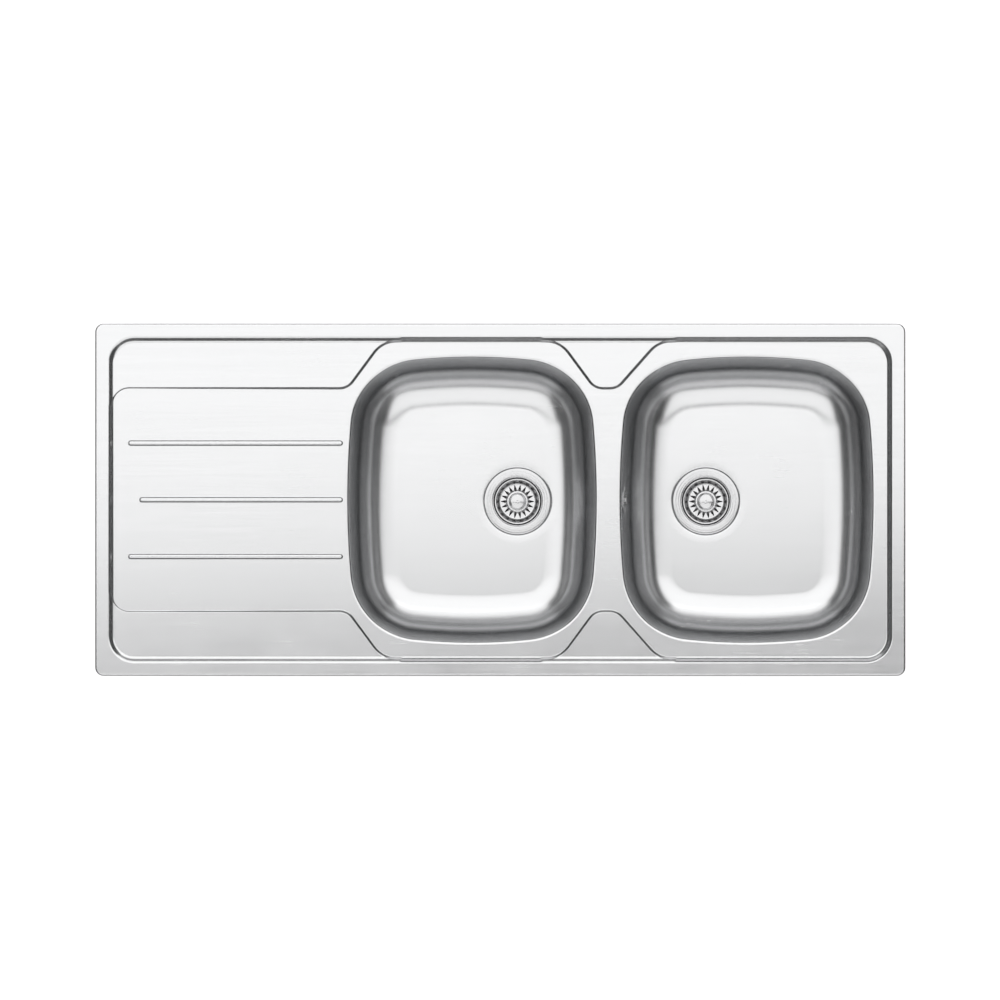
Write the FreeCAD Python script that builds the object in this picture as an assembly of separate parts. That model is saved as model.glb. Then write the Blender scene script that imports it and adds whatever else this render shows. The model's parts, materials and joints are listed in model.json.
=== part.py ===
import FreeCAD, Part
import math
import os

Vector = FreeCAD.Vector
os.makedirs("parts", exist_ok=True)

# Inset sink with a drainer and two bowls. X runs from the drainer to the bowls, Y to the back, and
# Z = 0 is the worktop that the rim rests on, with the origin at the middle of the rim.

# The pressed deck
width = 1150.0
depth = 500.0
sheet = 0.9
rim_height = 4.0
rim_band = 18.0
edge_roll = 3.0
outer_corner = 12.0
step_width = 9.0
step_corner = 38.0
bowl_drop = 9.0  # from the rim's top to the level round the bowls
ledge_drop = 5.5  # from the rim's top to the four ledges
ledge_slope = 3.0  # plan width of the slope at a ledge's edge
ledge_width = 90.5  # from the outline to a ledge's inner edge
ledge_end_corner = 25.0
low_bend = 22.0
high_bend = 42.0
ledge_angle = 53.5
right_ledge_angle = 48.5
drainer_margin = 8.9  # between the drainer's ledges and the left bowl
left_ledge_margin = 6.6  # between the left bowl and the middle ledges
right_ledge_margin = 11.9
drainer_fall = 2.0
rib_count = 3
rib_pitch = 80.5
rib_width = 8.0
rib_height = 1.6
rib_bowl_gap = 3.6  # between the ribs and the left bowl's edge
rib_left_gap = 19.5
middle_rib_setback = 16.0

# The drawn bowls
right_margin = 42.8  # from the right bowl to the end of the sink
right_bowl_width = 365.0
left_bowl_width = 358.6
divider_width = 28.0
bowl_margin = 44.0  # in front of and behind the bowls
bowl_side_radius = 1250.0
bowl_end_radius = 800.0
bowl_corner = 103.0
bowl_depth = 150.0
bowl_roll = 5.0
bowl_fillet = 56.0
bowl_draft = 7.5

# The waste in each bowl, with heights below the bowl's floor
left_drain_offset = 64.5  # from the bowl's middle towards the divider
right_drain_offset = 58.1
recess_radius = 48.4
recess_depth = 3.0
recess_draft = 1.0
waste_hole = 38.5
flange_radius = 46.9
flange_sheet = 0.9
flange_crown = 2.5
cup_radius = 33.4
cup_depth = 24.0
cup_corner = 4.0
seat_radius = 21.0
hub_radius = 6.0
spoke_count = 4
spoke_width = 4.0
gasket_inner = 39.0
gasket_outer = 46.0
flange_gasket_thickness = 1.4
body_gasket_thickness = 3.0
body_flange = 3.5
body_wall = 3.0
body_bore = 37.5
body_depth = 44.0
funnel_height = 9.0
tail_radius = 23.9
tail_bore = 20.0
tail_length = 25.0
boss_radius = 6.5
boss_top = 26.0
boss_height = 14.0
web_thickness = 3.0
web_height = 8.0
screw_radius = 3.0
screw_length = 18.0
screw_head_radius = 5.0
screw_head = 2.6
thread_gap = 0.05
socket_radius = 2.0
socket_depth = 1.4

# The strainer basket
basket_gap = 1.2
basket_sheet = 0.8
basket_rim_drop = 3.6
basket_bead = 1.2
basket_floor = 14.0
basket_floor_radius = 26.0
basket_boss_radius = 16.0
basket_boss_height = 4.0
slot_count = 18
slot_width = 3.2  # at its inner end
slot_tip = 0.6
slot_inner = 16.9
slot_outer = 23.3
seal_hub_radius = 9.0
seal_hub_height = 4.0
seal_radius = 25.5
seal_land = 1.5
seal_skirt = 1.6
seat_gap = 0.3
stem_radius = 3.0
stem_head_radius = 5.5
stem_head = 1.2
stem_grip = 7.0
knob_radius = 12.5
knob_neck = 5.0
knob_rise = 2.0  # above the bowl's floor at its middle
knob_edge = 4.0
knob_crown_radius = 9.5

# The overflow in the right bowl
overflow_drop = 32.0
overflow_hole = 15.0
rose_radius = 20.0
rose_thickness = 1.4
rose_gap = 0.2  # at its middle, because the wall behind it is slightly curved
rose_slot_count = 8
rose_slot_width = 3.0
rose_slot_inner = 6.5
rose_slot_outer = 13.0
overflow_gasket_thickness = 2.0
elbow_flange = 2.5
elbow_flange_radius = 19.0
elbow_radius = 17.0
elbow_depth = 16.0
elbow_wall = 2.0
elbow_boss = 4.0
rose_screw_radius = 2.0
rose_screw_head_radius = 4.5
rose_screw_head = 1.6
pipe_radius = 9.0
pipe_wall = 1.5
pipe_bend = 25.0
pipe_offset = 16.8  # from the bowl's wall at the overflow to the pipe's middle
socket_wall = 2.4
pipe_entry = 10.0
spout_length = 14.0
port_length = 17.0
port_drop = 20.0
nut_radius = 15.5
nut_length = 11.0
nut_overlap = 8.0
nut_sides = 12

# The clips under the rim
clip_end_inset = 70.0  # of the right pair
clip_step_gap = 1.0
plate_length = 15.0
plate_width = 21.0
plate_thickness = 1.5
ear_height = 13.0
pin_drop = 9.0
pin_radius = 2.0
pin_gap = 0.06
knuckle_radius = 3.8
knuckle_side_gap = 0.5
claw_thickness = 1.8
claw_length = 33.0
claw_lip = 9.0
tooth_height = 2.5
tooth_count = 3
tab_drop = 17.0
tab_reach = 11.0
clip_screw_radius = 2.5
clip_screw_length = 22.0
clip_screw_head_radius = 4.5
clip_screw_head = 3.0
clip_screw_rise = 8.0
driver_slot = 1.2
end_seat_gap = 0.05
claw_width = plate_width - 2 * plate_thickness - 2 * knuckle_side_gap

# The seal and the sound pads
seal_inset = 3.4
seal_width = 7.0
pad_thickness = 2.5
pad_width = 104.0
pad_length = 180.0
pad_corner = 20.0
pad_offset = 50.0

# Overrun of every cut
over = 1.0

# Levels and places that follow from the sizes above
deck_z = rim_height - bowl_drop
ledge_z = rim_height - ledge_drop
floor_z = deck_z - bowl_depth
ledge_y = depth / 2 - ledge_width
bowl_reach_y = depth / 2 - bowl_margin
left_reach = left_bowl_width / 2
right_reach = right_bowl_width / 2
right_x = width / 2 - right_margin - right_reach
divider_x = right_x - right_reach - divider_width / 2
left_x = divider_x - divider_width / 2 - left_reach
left_drain_x = left_x + left_drain_offset
right_drain_x = right_x - right_drain_offset
up = Vector(0, 0, 1)
origin = Vector(0, 0, 0)


def save(name, shape):
    shape.exportStep("parts/" + name + ".step")
    print(name, len(shape.Solids), round(shape.Volume))


def direction(start, end):
    return Vector(end[0] - start[0], end[1] - start[1], 0).normalize()


def sides_at(corners, i):
    following = corners[(i + 1) % len(corners)]
    return direction(corners[i - 1], corners[i]), direction(corners[i], following)


def radius_of(corner):
    return corner[2] if len(corner) > 2 else 0


def grown(corners, distance):
    # An anticlockwise outline with every side moved out and every corner arc kept concentric
    moved = []
    for i, corner in enumerate(corners):
        before, after = sides_at(corners, i)
        normals = Vector(before.y + after.y, -before.x - after.x, 0)
        shift = normals * (distance / (1 + before.dot(after)))
        radius = radius_of(corner)
        if radius:
            radius += math.copysign(1, before.cross(after).z) * distance
        moved.append((corner[0] + shift.x, corner[1] + shift.y, radius))
    return moved


def wire(corners, place):
    # Straight sides joined by tangent arcs, put in space by the place function
    stretches = []
    for i, corner in enumerate(corners):
        before, after = sides_at(corners, i)
        point = Vector(corner[0], corner[1], 0)
        radius = radius_of(corner)
        if not radius:
            stretches.append((point, None, point))
            continue
        half_turn = before.getAngle(after) / 2
        tangent = radius * math.tan(half_turn)
        inward = (after - before).normalize()
        middle = point + inward * (radius / math.cos(half_turn) - radius)
        stretches.append((point - before * tangent, middle, point + after * tangent))
    edges = []
    for i, (start, middle, end) in enumerate(stretches):
        last = stretches[i - 1][2]
        if last.distanceToPoint(start) > sheet / 1000:
            edges.append(Part.LineSegment(place(last), place(start)).toShape())
        if middle:
            edges.append(Part.Arc(place(start), place(middle), place(end)).toShape())
    return Part.Wire(edges)


def level(z):
    return lambda point: Vector(point.x, point.y, z)


def upright(point):
    return Vector(point.x, 0, point.y)


def rectangle(half_x, half_y, radius=0, x=0, y=0):
    return [
        (x - half_x, y - half_y, radius),
        (x + half_x, y - half_y, radius),
        (x + half_x, y + half_y, radius),
        (x - half_x, y + half_y, radius),
    ]


def prism(corners, low, high):
    return Part.Face(wire(corners, level(low))).extrude(up * (high - low))


def tapered(low_corners, low, high_corners, high):
    wires = [wire(low_corners, level(low)), wire(high_corners, level(high))]
    return Part.makeLoft(wires, True, True)


def turned(corners):
    return Part.Face(wire(corners, upright)).revolve(origin, up, 360)


def cylinder(radius, low, high, x=0, y=0):
    return Part.makeCylinder(radius, high - low, Vector(x, y, low))


def ring(inner, outer, low, high):
    return cylinder(outer, low, high).cut(cylinder(inner, low - over, high + over))


def box(x, y, z):
    # Each argument is a pair of limits
    return Part.makeBox(x[1] - x[0], y[1] - y[0], z[1] - z[0], Vector(x[0], y[0], z[0]))


def turned_copies(shape, count):
    copies = []
    for i in range(count):
        copy = shape.copy()
        copy.rotate(origin, up, 360 / count * i)
        copies.append(copy)
    return copies


def moved(shape, x, y=0, z=0):
    copy = shape.copy()
    copy.translate(Vector(x, y, z))
    return copy


def fused(shapes):
    return shapes[0].multiFuse(shapes[1:]).removeSplitter()


# The bowl's outline is four large arcs and four corner arcs, all tangent
def bowl_arcs(reach):
    side = Vector(reach - bowl_side_radius, 0, 0)
    end = Vector(0, bowl_reach_y - bowl_end_radius, 0)
    from_side = bowl_side_radius - bowl_corner
    from_end = bowl_end_radius - bowl_corner
    across = end - side
    along = (from_side**2 - from_end**2 + across.Length**2) / (2 * across.Length)
    away = math.sqrt(from_side**2 - along**2)
    across.normalize()
    corner = side + across * along + Vector(-across.y, across.x, 0) * away
    if corner.x < 0:
        corner = side + across * along - Vector(-across.y, across.x, 0) * away
    first = math.atan2(corner.y - side.y, corner.x - side.x)
    last = math.atan2(corner.y - end.y, corner.x - end.x)
    middle = (first + last) / 2
    half = (last - first) / 2
    rest = math.pi / 2 - last
    return [
        (side, bowl_side_radius, 0, first),
        (corner, bowl_corner, middle, half),
        (end, bowl_end_radius, math.pi / 2, rest),
        (Vector(-corner.x, corner.y, 0), bowl_corner, math.pi - middle, half),
        (side * -1, bowl_side_radius, math.pi, first),
        (corner * -1, bowl_corner, math.pi + middle, half),
        (end * -1, bowl_end_radius, -math.pi / 2, rest),
        (Vector(corner.x, -corner.y, 0), bowl_corner, -middle, half),
    ]


def on_arc(centre, radius, angle, z):
    return centre + Vector(radius * math.cos(angle), radius * math.sin(angle), z)


def bowl_outline(reach, inset, z):
    edges = []
    for centre, radius, middle, half in bowl_arcs(reach):
        angles = (middle - half, middle, middle + half)
        points = [on_arc(centre, radius - inset, angle, z) for angle in angles]
        edges.append(Part.Arc(*points).toShape())
    return Part.Wire(edges)


def bowl_section(under):
    # Roll, wall and fillet as pairs of inset and height, on the sheet's top or under it
    draft = math.radians(bowl_draft)
    normal = Vector(math.cos(draft), math.sin(draft), 0)
    roll_centre = Vector(0, deck_z - bowl_roll, 0)
    fillet_z = floor_z + bowl_fillet
    near = roll_centre + normal * (bowl_roll + bowl_fillet)
    run = (near.y - fillet_z) / math.cos(draft)
    fillet_centre = near + Vector(math.sin(draft), -math.cos(draft), 0) * run
    roll = bowl_roll - under
    fillet = bowl_fillet + under
    halfway = (math.pi / 2 + draft) / 2
    bend = Vector(math.cos(halfway), math.sin(halfway), 0)
    return [
        roll_centre + Vector(0, roll, 0),
        roll_centre + bend * roll,
        roll_centre + normal * roll,
        fillet_centre - normal * fillet,
        fillet_centre - bend * fillet,
        fillet_centre - Vector(0, fillet, 0),
    ]


def bowl_sector(centre, radius, middle, half):
    start = middle - half

    def place(point):
        return on_arc(centre, radius - point.x, start, point.y)

    edges = []
    for a, b, c, d, e, f in (map(place, bowl_section(under)) for under in (0, sheet)):
        edges.append(Part.Arc(a, b, c).toShape())
        edges.append(Part.LineSegment(c, d).toShape())
        edges.append(Part.Arc(d, e, f).toShape())
        ends = edges[0].Vertexes[0].Point, a
        tips = edges[2].Vertexes[1].Point, f
    edges.append(Part.LineSegment(*ends).toShape())
    edges.append(Part.LineSegment(*tips).toShape())
    face = Part.Face(Part.Wire(Part.__sortEdges__(edges)))
    return face.revolve(centre, up, math.degrees(2 * half))


def wall_inset(z):
    # How far in from the bowl's outline its wall lies at a height
    top = bowl_section(0)[2]
    return top.x + (top.y - z) * math.tan(math.radians(bowl_draft))


def bowl(centre_x, reach, drain_x):
    floor_inset = bowl_section(0)[-1].x
    floor = Part.Face(bowl_outline(reach, floor_inset, floor_z)).extrude(up * -sheet)
    shell = fused([bowl_sector(*arc) for arc in bowl_arcs(reach)] + [floor])
    shell.translate(Vector(centre_x, 0, 0))
    recess_z = floor_z - recess_depth
    foot = recess_radius - recess_draft
    recess = turned(
        [
            (waste_hole, recess_z - sheet),
            (foot + sheet, recess_z - sheet),
            (recess_radius + sheet, floor_z - sheet),
            (recess_radius + sheet, floor_z),
            (recess_radius, floor_z),
            (foot, recess_z),
            (waste_hole, recess_z),
        ]
    )
    opening = cylinder(recess_radius + sheet, floor_z - sheet - over, floor_z + over, drain_x)
    return fused([shell.cut(opening), moved(recess, drain_x)])


# The deck: the space above its surface is cut from a block, and the same block one sheet lower
# is taken away from under it.
def ledge_bends(start_x, run, angle):
    # The two corners of the slanting edge of a ledge. run is +1 towards +X or -1.
    rise = ledge_top_y - ledge_y
    slant = math.radians(angle)
    low_x = start_x + run * low_bend * math.tan(slant / 2)
    high_x = low_x + run * rise / math.tan(slant)
    end_x = high_x + run * high_bend * math.tan(slant / 2)
    return low_x, high_x, end_x


ledge_share = ledge_drop / bowl_drop
ledge_top_y = depth / 2 - rim_band - step_width * ledge_share
ledge_left_x = -width / 2 + rim_band + step_width * ledge_share
rim_middle_x = width / 2 - rim_band / 2
rim_middle_y = depth / 2 - rim_band / 2
drainer_end_x = left_x - left_reach - drainer_margin


def side_ledge():
    low_x, high_x, end_x = ledge_bends(drainer_end_x, 1, ledge_angle)
    start_y = ledge_y - ledge_end_corner - over
    return [
        (-rim_middle_x, start_y),
        (ledge_left_x, start_y),
        (ledge_left_x, ledge_y, ledge_end_corner),
        (low_x, ledge_y, low_bend),
        (high_x, ledge_top_y, high_bend),
        (end_x + over, ledge_top_y),
        (end_x + over, rim_middle_y),
        (-rim_middle_x, rim_middle_y),
    ]


def middle_ledge():
    left_start = left_x + left_reach + left_ledge_margin
    right_start = right_x - right_reach - right_ledge_margin
    left_low, left_high, left_end = ledge_bends(left_start, -1, ledge_angle)
    right_low, right_high, right_end = ledge_bends(right_start, 1, right_ledge_angle)
    return [
        (left_end - over, rim_middle_y),
        (left_end - over, ledge_top_y),
        (left_high, ledge_top_y, high_bend),
        (left_low, ledge_y, low_bend),
        (right_low, ledge_y, low_bend),
        (right_high, ledge_top_y, high_bend),
        (right_end + over, ledge_top_y),
        (right_end + over, rim_middle_y),
    ]


def raised_ledge(corners):
    base = deck_z - sheet - over
    foot = grown(corners, ledge_slope)
    rise = tapered(foot, deck_z, corners, ledge_z)
    return prism(foot, base, deck_z).fuse(rise)


def drainer_slope():
    far_x = -width / 2
    profile = [
        (far_x, deck_z - sheet - over),
        (drainer_end_x, deck_z - sheet - over),
        (drainer_end_x, deck_z),
        (far_x, deck_z + drainer_fall),
    ]
    wedge = Part.Face(wire(profile, upright)).extrude(Vector(0, depth, 0))
    return moved(wedge, 0, -depth / 2)


def drainer_ribs():
    ribs = []
    base = deck_z - sheet - over
    fall = drainer_end_x + width / 2
    tilt = math.degrees(math.atan2(drainer_fall, fall))
    for i in range(rib_count):
        place = i - (rib_count - 1) / 2
        left = -width / 2 + rim_band + step_width + rib_left_gap
        if place == 0:
            left += middle_rib_setback
        right = left_x - left_reach - rib_bowl_gap
        half = (right - left) / 2
        shape = rectangle(half, rib_width / 2, rib_width / 2, (left + right) / 2, place * rib_pitch)
        crest = grown(shape, -rib_width / 3)
        foot = prism(shape, base, deck_z)
        rib = foot.fuse(tapered(shape, deck_z, crest, deck_z + rib_height))
        rib.rotate(Vector(drainer_end_x, 0, deck_z), Vector(0, 1, 0), tilt)
        ribs.append(rib)
    return ribs


def space_above_deck():
    top = rectangle(width / 2 - rim_band, depth / 2 - rim_band, step_corner)
    foot = grown(top, -step_width)
    space = tapered(foot, deck_z, top, rim_height).fuse(prism(top, rim_height, rim_height + over))
    raised = [drainer_slope()] + drainer_ribs()
    for corners in (side_ledge(), middle_ledge()):
        back = raised_ledge(corners)
        raised += [back, back.mirror(origin, Vector(0, 1, 0))]
    return space.cut(raised)


def rounded_block(inset):
    bottom = deck_z - 2 * bowl_drop - inset
    outline = grown(rectangle(width / 2, depth / 2, outer_corner), -inset)
    top = rim_height - inset
    block = prism(outline, bottom, top)
    edges = [edge for edge in block.Edges if edge.BoundBox.ZMin > top - sheet / 2]
    return block.makeFillet(edge_roll - inset, edges)


def deck():
    space = space_above_deck()
    surface = rounded_block(0).cut(space)
    under = rounded_block(sheet).cut(moved(space, 0, 0, -sheet))
    plate = surface.cut(under)
    outline = rectangle(width / 2, depth / 2, outer_corner)
    skirt_top = 0
    skirt_bottom = deck_z - 3 * bowl_drop
    below = prism(grown(outline, over), skirt_bottom, skirt_top)
    inside = prism(grown(outline, -rim_band), skirt_bottom - over, skirt_top + over)
    plate = plate.cut(below.cut(inside))
    for x, reach in ((left_x, left_reach), (right_x, right_reach)):
        low_face = Part.Face(bowl_outline(reach, 0, deck_z - sheet - over))
        mouth = low_face.extrude(up * (sheet + 2 * over))
        plate = plate.cut(moved(mouth, x))
    return plate.removeSplitter()


def rim_seal():
    outer = grown(rectangle(width / 2, depth / 2, outer_corner), -seal_inset)
    inner = grown(outer, -seal_width)
    top = rim_height - sheet
    return prism(outer, 0, top).cut(prism(inner, -over, top + over))


def sound_pad(bowl_x, side):
    corners = rectangle(pad_width / 2, pad_length / 2, pad_corner, bowl_x + side * pad_offset)
    return prism(corners, floor_z - sheet - pad_thickness, floor_z - sheet)


# The waste, made round the Z axis with the bowl's floor at zero, then moved to its drain
lip_z = flange_gasket_thickness - recess_depth
seat_z = -cup_depth
body_top_z = -recess_depth - sheet - body_gasket_thickness
body_end_z = -body_depth - funnel_height - tail_length


def flange():
    # The lip rises a little from its edge to a crown before it rolls down into the cup
    dish = turned(
        [
            (seat_radius, seat_z - flange_sheet),
            (cup_radius + flange_sheet - cup_corner, seat_z - flange_sheet),
            (cup_radius + flange_sheet, seat_z - flange_sheet + cup_corner),
            (cup_radius + flange_sheet, lip_z),
            (flange_radius, lip_z),
            (flange_radius, lip_z + flange_sheet / 2),
            (flange_radius - flange_crown, lip_z + flange_sheet),
            (cup_radius + flange_sheet, lip_z + flange_sheet),
            (cup_radius, lip_z),
            (cup_radius, seat_z + cup_corner),
            (cup_radius - cup_corner, seat_z),
            (seat_radius, seat_z),
        ]
    )
    half = spoke_width / 2
    spoke = box((0, seat_radius + over), (-half, half), (seat_z - flange_sheet, seat_z))
    hub = cylinder(hub_radius, seat_z - flange_sheet, seat_z)
    cage = fused([dish, hub] + turned_copies(spoke, spoke_count))
    return cage.cut(cylinder(screw_radius + thread_gap, seat_z - flange_sheet - over, seat_z + over))


def waste_body(with_port):
    outer = body_bore + body_wall
    throat_z = -body_depth - funnel_height
    shell = turned(
        [
            (tail_bore, body_end_z),
            (tail_radius, body_end_z),
            (tail_radius, throat_z),
            (outer, -body_depth),
            (outer, body_top_z - body_flange),
            (gasket_outer, body_top_z - body_flange),
            (gasket_outer, body_top_z),
            (body_bore, body_top_z),
            (body_bore, -body_depth + body_wall),
            (tail_bore, throat_z + body_wall),
        ]
    )
    web_top = -boss_top - (boss_height - web_height) / 2
    half = web_thickness / 2
    web = box((0, body_bore + over), (-half, half), (web_top - web_height, web_top))
    boss = cylinder(boss_radius, -boss_top - boss_height, -boss_top)
    shell = fused([shell, boss] + turned_copies(web, spoke_count))
    shell = shell.cut(cylinder(screw_radius + thread_gap, -boss_top - boss_height - over, 0))
    if with_port:
        bore = pipe_radius + thread_gap
        out = Vector(-1, 0, 0)
        start = Vector(-body_bore - body_wall / 2, 0, -port_drop)
        length = port_length + body_wall / 2
        tube = Part.makeCylinder(bore + socket_wall, length, start, out)
        way = Part.makeCylinder(bore, length + body_wall + over, Vector(-body_bore + over, 0, -port_drop), out)
        shell = fused([shell, tube]).cut(way)
    return shell


def clamp_screw():
    head = cylinder(screw_head_radius, seat_z, seat_z + screw_head)
    shank = cylinder(screw_radius, seat_z + screw_head - screw_length, seat_z + screw_head)
    socket = cylinder(socket_radius, seat_z + screw_head - socket_depth, seat_z + screw_head + over)
    return fused([head, shank]).cut(socket)


def basket():
    rim = cup_radius - basket_gap
    floor = -basket_floor
    boss_z = floor + basket_boss_height
    bowl_rim = rim - basket_bead
    cup = turned(
        [
            (stem_radius + thread_gap, boss_z - basket_sheet),
            (basket_boss_radius - basket_boss_height / 2, boss_z - basket_sheet),
            (basket_boss_radius, floor - basket_sheet),
            (basket_floor_radius, floor - basket_sheet),
            (bowl_rim, -basket_rim_drop - basket_bead),
            (rim, -basket_rim_drop - basket_bead),
            (rim, -basket_rim_drop),
            (bowl_rim - basket_sheet, -basket_rim_drop),
            (basket_floor_radius - basket_sheet, floor),
            (basket_boss_radius + basket_sheet, floor),
            (basket_boss_radius + basket_sheet - basket_boss_height / 2, boss_z),
            (stem_radius + thread_gap, boss_z),
        ]
    )
    wedge = [
        (slot_inner, -slot_width / 2),
        (slot_outer, -slot_tip / 2),
        (slot_outer, slot_tip / 2),
        (slot_inner, slot_width / 2),
    ]
    slot = prism(wedge, floor - basket_sheet - over, floor + basket_sheet)
    return cup.cut(turned_copies(slot, slot_count))


def basket_seal():
    top = -basket_floor + basket_boss_height - basket_sheet
    hub_low = -basket_floor - basket_sheet - seal_hub_height
    land_z = seat_z + seat_gap
    return turned(
        [
            (stem_radius + thread_gap, hub_low),
            (seal_hub_radius, hub_low),
            (seal_radius - seal_land, land_z),
            (seal_radius, land_z),
            (seal_radius, land_z + seal_skirt),
            (seal_hub_radius, hub_low + 2 * seal_skirt),
            (seal_hub_radius, top),
            (stem_radius + thread_gap, top),
        ]
    )


def stem():
    low = -basket_floor - basket_sheet - seal_hub_height
    top = -basket_floor + basket_boss_height + stem_grip
    head = cylinder(stem_head_radius, low - stem_head, low)
    return fused([head, cylinder(stem_radius, low - stem_head, top)])


def knob():
    base = -basket_floor + basket_boss_height
    edge_z = knob_rise - knob_edge
    outline = [
        (0, base),
        (knob_neck, base),
        (knob_neck, edge_z - knob_edge),
        (knob_radius, edge_z - knob_edge / 2),
        (knob_radius, edge_z),
        (knob_crown_radius, edge_z + knob_edge / 2),
        (0, knob_rise),
    ]
    mushroom = turned(outline)
    bore_top = base + stem_grip + thread_gap
    return mushroom.cut(cylinder(stem_radius + thread_gap, base - over, bore_top))


def save_waste(side, x, with_port):
    gasket_top = -recess_depth - sheet
    pieces = {
        "waste_flange": flange(),
        "flange_gasket": ring(gasket_inner, gasket_outer, -recess_depth, lip_z),
        "body_gasket": ring(gasket_inner, gasket_outer, body_top_z, gasket_top),
        "waste_body": waste_body(with_port),
        "clamp_screw": clamp_screw(),
        "strainer_basket": basket(),
        "basket_seal": basket_seal(),
        "basket_stem": stem(),
        "basket_knob": knob(),
    }
    for name, shape in pieces.items():
        save(side + "_" + name, moved(shape, x, 0, floor_z))


# The overflow, made round the Z axis with the bowl's wall at zero and +Z into the bowl, then
# leant with the wall. Its spout, pipe and nuts are upright.
overflow_z = deck_z - overflow_drop
overflow_x = right_x - right_reach + wall_inset(overflow_z)
pipe_x = overflow_x - pipe_offset
rose_top = rose_gap + rose_thickness
elbow_front = -sheet - overflow_gasket_thickness
elbow_back = elbow_front - elbow_flange - elbow_depth
pipe_z = floor_z - port_drop
spout_low_z = overflow_z - elbow_radius - spout_length
port_end_x = right_drain_x - body_bore - body_wall - port_length


def on_wall(shape):
    copy = shape.copy()
    copy.rotate(origin, Vector(0, 1, 0), 90 - bowl_draft)
    return moved(copy, overflow_x, 0, overflow_z)


def overflow_rose():
    dome = turned(
        [
            (rose_screw_radius + thread_gap, rose_gap),
            (rose_radius, rose_gap),
            (rose_radius, rose_top / 2),
            (rose_screw_head_radius, rose_top),
            (rose_screw_radius + thread_gap, rose_top),
        ]
    )
    half = rose_slot_width / 2
    slot = box((rose_slot_inner, rose_slot_outer), (-half, half), (-over, rose_top + over))
    return on_wall(dome.cut(turned_copies(slot, rose_slot_count)))


def overflow_screw():
    low = elbow_back + elbow_wall
    shank = cylinder(rose_screw_radius, low, rose_top)
    head = cylinder(rose_screw_head_radius, rose_top, rose_top + rose_screw_head)
    half = driver_slot / 2
    reach = rose_screw_head_radius + over
    notch_low = rose_top + rose_screw_head / 2
    notch = box((-half, half), (-reach, reach), (notch_low, rose_top + rose_screw_head + over))
    return on_wall(fused([shank, head]).cut(notch))


def overflow_elbow():
    cup = ring(elbow_radius - elbow_wall, elbow_radius, elbow_back, elbow_front)
    lip = ring(elbow_radius - elbow_wall, elbow_flange_radius, elbow_front - elbow_flange, elbow_front)
    back = cylinder(elbow_radius, elbow_back, elbow_back + elbow_wall)
    boss = cylinder(elbow_boss, elbow_back, elbow_front)
    room = cylinder(elbow_radius - elbow_wall, elbow_back + elbow_wall, elbow_front + over)
    bore = pipe_radius + thread_gap
    spout = cylinder(bore + socket_wall, spout_low_z, overflow_z, pipe_x)
    way = cylinder(bore, spout_low_z - over, overflow_z, pipe_x)
    shell = fused([on_wall(cup), on_wall(lip), on_wall(back), spout])
    shell = shell.cut(on_wall(room)).cut(way)
    shell = fused([shell, on_wall(boss)])
    low = elbow_back + elbow_wall - thread_gap
    return shell.cut(on_wall(cylinder(rose_screw_radius + thread_gap, low, elbow_front + over)))


def overflow_pipe():
    top_z = spout_low_z + pipe_entry
    bend_z = pipe_z + pipe_bend
    end_x = port_end_x + pipe_entry
    runs = []
    for radius in (pipe_radius, pipe_radius - pipe_wall):
        upright_run = cylinder(radius, bend_z, top_z, pipe_x)
        circle = Part.Circle(Vector(pipe_x, 0, bend_z), up, radius).toShape()
        centre = Vector(pipe_x + pipe_bend, 0, bend_z)
        bend = Part.Face(Part.Wire(circle)).revolve(centre, Vector(0, -1, 0), 90)
        flat_run = Part.makeCylinder(
            radius, end_x - centre.x, Vector(centre.x, 0, pipe_z), Vector(1, 0, 0)
        )
        runs.append(fused([upright_run, bend, flat_run]))
    return runs[0].cut(runs[1])


def pipe_nut():
    # Round the Z axis, with its mouth at the top and the joint face at zero
    corners = []
    for i in range(nut_sides):
        angle = 2 * math.pi * i / nut_sides
        corners.append((nut_radius * math.cos(angle), nut_radius * math.sin(angle)))
    blank = prism(corners, nut_overlap - nut_length, nut_overlap)
    bore = pipe_radius + thread_gap
    blank = blank.cut(cylinder(bore, -nut_length, nut_overlap + over))
    return blank.cut(cylinder(bore + socket_wall + thread_gap, 0, nut_overlap + over))


def pipe_nuts():
    upper = moved(pipe_nut(), pipe_x, 0, spout_low_z)
    lower = pipe_nut()
    lower.rotate(origin, Vector(0, 1, 0), 90)
    return Part.Compound([upper, moved(lower, port_end_x, 0, pipe_z)])


# The clips, made with the seat at zero and the worktop towards +X
def clip_bracket():
    half = plate_width / 2
    back = plate_length / 2
    plate = box((-back, back), (-half, half), (-plate_thickness, 0))
    ears = []
    for side in (-1, 1):
        low, high = sorted((side * half, side * (half - plate_thickness)))
        ears.append(box((-back, back), (low, high), (-ear_height, 0)))
    bracket = fused([plate] + ears)
    return bracket.cut(clip_pin(plate_width + over))


def clip_pin(length):
    start = Vector(0, -length / 2, -pin_drop)
    return Part.makeCylinder(pin_radius, length, start, Vector(0, 1, 0))


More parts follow.
